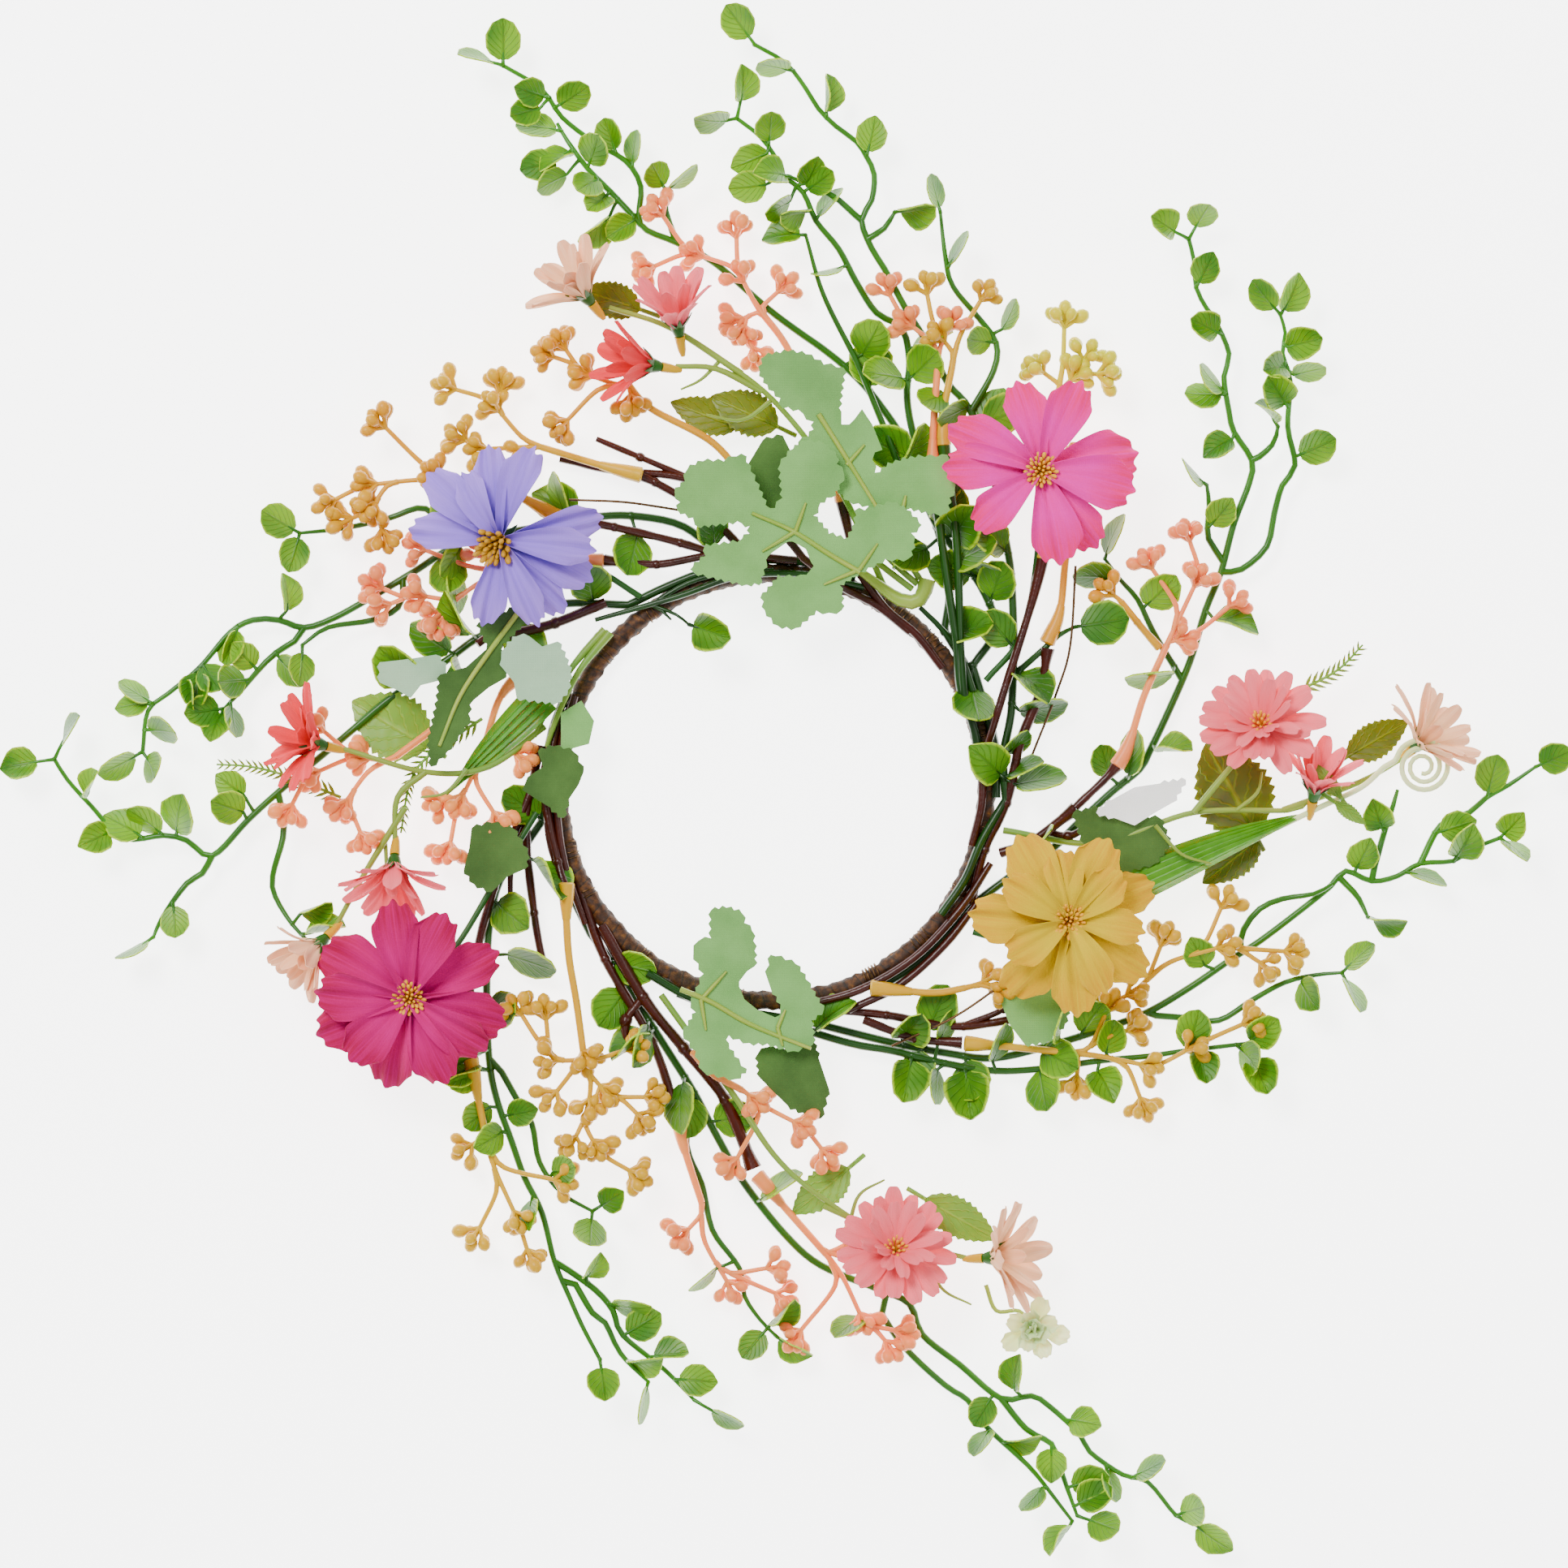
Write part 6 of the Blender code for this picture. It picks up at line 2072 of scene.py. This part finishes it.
CLOTH_LEAVES = [
    DieCutLeaf(
        "sage_top_cloth", Finish.SAGE, 0,
        [(34, 84), (44, 89), (53, 89), (55, 95), (54, 99), (57, 101), (57, 103), (52, 108), (47, 111), (36, 108),
         (32, 108),
         (31, 102), (28, 97), (22, 99), (16, 106), (18, 109), (23, 113), (26, 118), (28, 122), (25, 126), (25, 129),
         (20, 134), (13, 135), (8, 132), (3, 126), (4, 113), (1, 109), (-1, 109), (-5, 118), (-10, 129), (-14, 129),
         (-19, 127), (-27, 127), (-33, 124), (-34, 119), (-38, 115), (-36, 111), (-37, 108), (-31, 105), (-28, 101),
         (-19, 102), (-12, 103), (-9, 102), (-9, 99), (-12, 97), (-26, 95), (-26, 90), (-31, 86), (-31, 84), (-23, 82),
         (-14, 80), (-10, 79), (-4, 80), (-2, 86), (-1, 91), (6, 96), (8, 96), (13, 93), (15, 88), (15, 85), (11, 83),
         (2, 83), (-4, 76), (-3, 69), (2, 63), (9, 62), (17, 69), (22, 68), (27, 69), (27, 75), (26, 79), (31, 82)],
        [[(34, 84), (22, 91), (8, 100), (-8, 107)], [(9, 100), (13, 111)], [(9, 100), (-4, 92)], [(34, 85), (41, 95)],
         [(34, 85), (20, 79)]],
        "sage_leaf_top",
    ),
    DieCutLeaf(
        "sage_upper_cloth", Finish.SAGE, 0,
        [(-3, 168), (6, 170), (13, 169), (20, 165), (25, 164), (29, 162), (28, 156), (27, 147), (27, 142), (30, 142),
         (32, 144), (35, 148), (39, 142), (43, 132), (40, 131), (39, 128), (40, 123), (45, 127), (51, 129), (57, 130),
         (66, 130), (69, 128), (68, 124), (71, 116), (69, 113), (68, 107), (63, 107), (54, 109), (47, 110), (41, 109),
         (30, 112), (18, 124), (10, 135), (14, 137), (16, 140), (16, 143), (12, 146), (4, 148), (3, 152), (-2, 157),
         (-5, 162)],
        [[(18, 146), (28, 130), (41, 109)], [(29, 126), (36, 134)], [(51, 109), (52, 114)]],
        "sage_leaf_upper",
    ),
    DieCutLeaf(
        "sage_left_cloth", Finish.DEEP_SAGE, 0,
        [(-116, 63), (-110, 65), (-98, 72), (-90, 71), (-96, 64), (-103, 57), (-106, 54), (-104, 51), (-104, 43),
         (-111, 39), (-117, 34), (-118, 27), (-127, 14), (-133, 8), (-134, 18), (-131, 34), (-130, 44), (-120, 47),
         (-112, 54)],
        [[(-98, 70), (-110, 54), (-122, 36), (-130, 16)]],
        "sage_leaf_left", 0.004,
    ),
    DieCutLeaf(
        "pale_upper_left_cloth", Finish.PALE_SAGE, 27,
        [(-104, 55), (-100, 59), (-95, 59), (-90, 55), (-84, 57), (-81, 51), (-79, 45), (-80, 38), (-84, 33), (-93, 34),
         (-100, 35), (-101, 41), (-105, 46), (-106, 50)],
        curl=0.004,
    ),
    DieCutLeaf(
        "pale_far_left_cloth", Finish.PALE_SAGE, 20,
        [(-154, 49), (-145, 50), (-132, 52), (-128, 47), (-130, 42), (-138, 40), (-142, 35), (-147, 38), (-154, 41)],
        curl=0.006,
    ),
    DieCutLeaf(
        "sage_bottom_cloth", Finish.SAGE, 0,
        [(-30, -81), (-27, -73), (-31, -65), (-29, -60), (-24, -59), (-24, -48), (-18, -47), (-12, -49), (-11, -53),
         (-8, -56), (-7, -64), (-7, -70), (-10, -72), (-13, -76), (-13, -78), (-11, -83), (-6, -87), (1, -90), (3, -87),
         (0, -81), (-3, -72), (-2, -67), (1, -66), (9, -69), (13, -75), (15, -79), (20, -87), (15, -91), (16, -100),
         (8, -103), (-2, -100), (-9, -100), (-17, -97), (-17, -100), (-13, -106), (-10, -110), (-14, -114), (-19, -113),
         (-27, -111), (-30, -103), (-35, -96), (-33, -93), (-30, -88), (-32, -84)],
        [[(-36, -79), (-24, -84), (-8, -93), (15, -102)], [(-27, -82), (-18, -72)], [(-28, -83), (-26, -95)],
         [(2, -94), (5, -87)], [(2, -94), (4, -101)]],
        "sage_leaf_bottom",
    ),
    DieCutLeaf(
        "sage_fold_cloth", Finish.DEEP_SAGE, 22,
        [(-2, -102), (8, -103), (16, -100), (18, -106), (22, -118), (19, -130), (15, -129), (6, -125), (-2, -117),
         (-5, -114), (-6, -105)],
        curl=-0.012,
    ),
    DieCutLeaf(
        "sage_behind_cloth", Finish.DEEP_SAGE, 20,
        [(-7, 112), (0, 106), (8, 114), (10, 126), (4, 138), (-4, 136), (-10, 126)], curl=0.002,
    ),
    DieCutLeaf(
        "sage_inner_left_cloth", Finish.DEEP_SAGE, 22,
        [(-92, 14), (-86, 16), (-78, 14), (-74, 6), (-76, 1), (-80, -5), (-82, -12), (-87, -8), (-92, -5), (-98, -1),
         (-96, 4), (-90, 8)],
        curl=0.006,
    ),
    DieCutLeaf(
        "sage_low_left_cloth", Finish.DEEP_SAGE, 20,
        [(-118, -16), (-110, -14), (-102, -16), (-96, -26), (-97, -32), (-104, -35), (-110, -41), (-117, -38),
         (-121, -32),
         (-119, -24)],
        curl=0.006,
    ),
    DieCutLeaf(
        "pale_inner_left_cloth", Finish.SAGE, 20,
        [(-83, 14), (-72, 17), (-70, 26), (-75, 34), (-83, 29)], curl=0.01,
    ),
    DieCutLeaf(
        "bare_right_cloth", Finish.BARE_CLOTH, 20,
        [(127, -10), (133, -5), (142, 0), (152, 1.5), (162, 3), (157, -6), (150, -10), (142, -15), (134, -12)],
        curl=0.004,
    ),
    DieCutLeaf(
        "sage_low_right_cloth", Finish.SAGE, 16,
        [(92, -78), (100, -74), (110, -76), (117, -84), (115, -93), (108, -100), (99, -101), (93, -93), (90, -85)],
        curl=0.004,
    ),
    DieCutLeaf(
        "dark_right_cloth", Finish.DEEP_SAGE, 17,
        [(118, -10), (128, -8), (140, -12), (152, -12), (156, -22), (150, -30), (138, -33), (128, -30), (122, -22)],
        curl=0.005,
    ),
]

MOULDED_LEAVES = [
    MouldedLeaf("olive_right", Finish.OLIVE, "olive", (190, -18), (171, 17), 30, 0, "serrated_leaf_right", lift=3),
    MouldedLeaf("olive_right_low", Finish.OLIVE, "olive", (192, -20), (170, -38), 15, 9),
    MouldedLeaf("olive_top", Finish.OLIVE, "olive", (2, 142), (-24, 154), 17, 12, lift=2),
    MouldedLeaf("olive_top_second", Finish.OLIVE, "olive", (-14, 142), (-40, 152), 14, 9, lift=2),
    MouldedLeaf("olive_top_far", Finish.OLIVE, "olive", (-52, 188), (-76, 196), 14, 14, lift=2),
    MouldedLeaf("olive_far_right", Finish.OLIVE, "olive", (226, 12), (250, 26), 14, 14, lift=2),
    MouldedLeaf("fresh_left", Finish.FRESH, "pale_green", (-136, 16), (-166, 34), 26, 7, lift=2),
    MouldedLeaf("fresh_bottom", Finish.FRESH, "pale_green", (30, -150), (8, -168), 15, 12, lift=2),
    MouldedLeaf("fresh_bottom_right", Finish.FRESH, "pale_green", (60, -162), (88, -178), 15, 14, lift=2),
]

GRASSES = [
    GrassBundle("grass_right_strips", [(128, -44), (150, -34), (180, -21), (213, -9)], 14, (14, 20), "grass_blades"),
    GrassBundle("grass_left_strips", [(-90, 36), (-104, 22), (-118, 8), (-128, -3)], 12, (13, 17), blades=4),
]


def floor_material() -> bpy.types.Material:
    """Matt white paper."""
    material, _, shader = blank("matt_white_paper", Roughness=0.9, Specular_IOR_Level=0.1, Emission_Strength=4.5)
    shader.inputs["Base Color"].default_value = linear("#F8F8F7")
    shader.inputs["Emission Color"].default_value = linear("#FFFFFF")
    return material


def light_the_room() -> None:
    """A pale floor, soft light from every side and a camera straight over the crown."""
    deselect()
    bpy.ops.mesh.primitive_plane_add(size=8, location=(0, 0, -0.0005))
    floor = bpy.context.object
    floor.name = "studio_floor"
    floor.data.materials.append(floor_material())
    world = bpy.data.worlds.new("studio")
    bpy.context.scene.world = world
    world.use_nodes = True
    sky = world.node_tree.nodes["Background"]
    sky.inputs["Color"].default_value = linear("#FFFFFF")
    sky.inputs["Strength"].default_value = 0.55
    for name, place, size, power in (
        ("key_softbox", (-0.8, 1.0, 1.9), 0.8, 66.0),
        ("fill_softbox", (1.2, 0.3, 1.7), 1.2, 14.0),
        ("front_softbox", (0.1, -1.3, 1.6), 1.2, 12.0),
    ):
        lamp = bpy.data.lights.new(name, "AREA")
        lamp.size = size
        lamp.energy = power
        holder = bpy.data.objects.new(name, lamp)
        holder.location = place
        holder.rotation_euler = (-Vector(place)).to_track_quat("-Z", "Y").to_euler()
        bpy.context.scene.collection.objects.link(holder)
    eye = bpy.data.cameras.new("camera")
    eye.sensor_width = 36
    eye.lens = 116.0
    camera = bpy.data.objects.new("camera", eye)
    camera.location = (0.00448, 0.00128, 2.0)
    bpy.context.scene.collection.objects.link(camera)
    bpy.context.scene.camera = camera


def main() -> None:
    """Builds and dresses the crown."""
    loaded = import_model()
    LOG.info("CAD nodes: %d", len(loaded["nodes"]))
    layout = Layout()
    shapes = Shapes()
    WrappedHoop(layout).build()
    plants = [*VINES, *SPRAYS, *TWIGS, *BOUND_STEMS, *BLOSSOMS, *DAISIES, *STALK_SPRAYS]
    for number, part in enumerate([*plants, *CLOTH_LEAVES, *MOULDED_LEAVES, *GRASSES]):
        part.build(layout, shapes, Random(1000 + number))
    curl_tendril(layout, shapes)
    herb_sprig(layout, shapes, "herb_right", [(207, 38), (222, 46), (232, 56)], 16)
    herb_sprig(layout, shapes, "herb_left", [(-170, -4), (-190, 4), (-205, 8), (-219, 9)], 12)
    herb_sprig(layout, shapes, "herb_inner_left", [(-114, 27), (-133, 14), (-142, 3), (-146, -18)], 18)
    pale_bud(layout, shapes)
    shapes.discard()
    light_the_room()


if __name__ == "__main__":
    logging.basicConfig(level=logging.INFO, format="%(message)s")
    main()
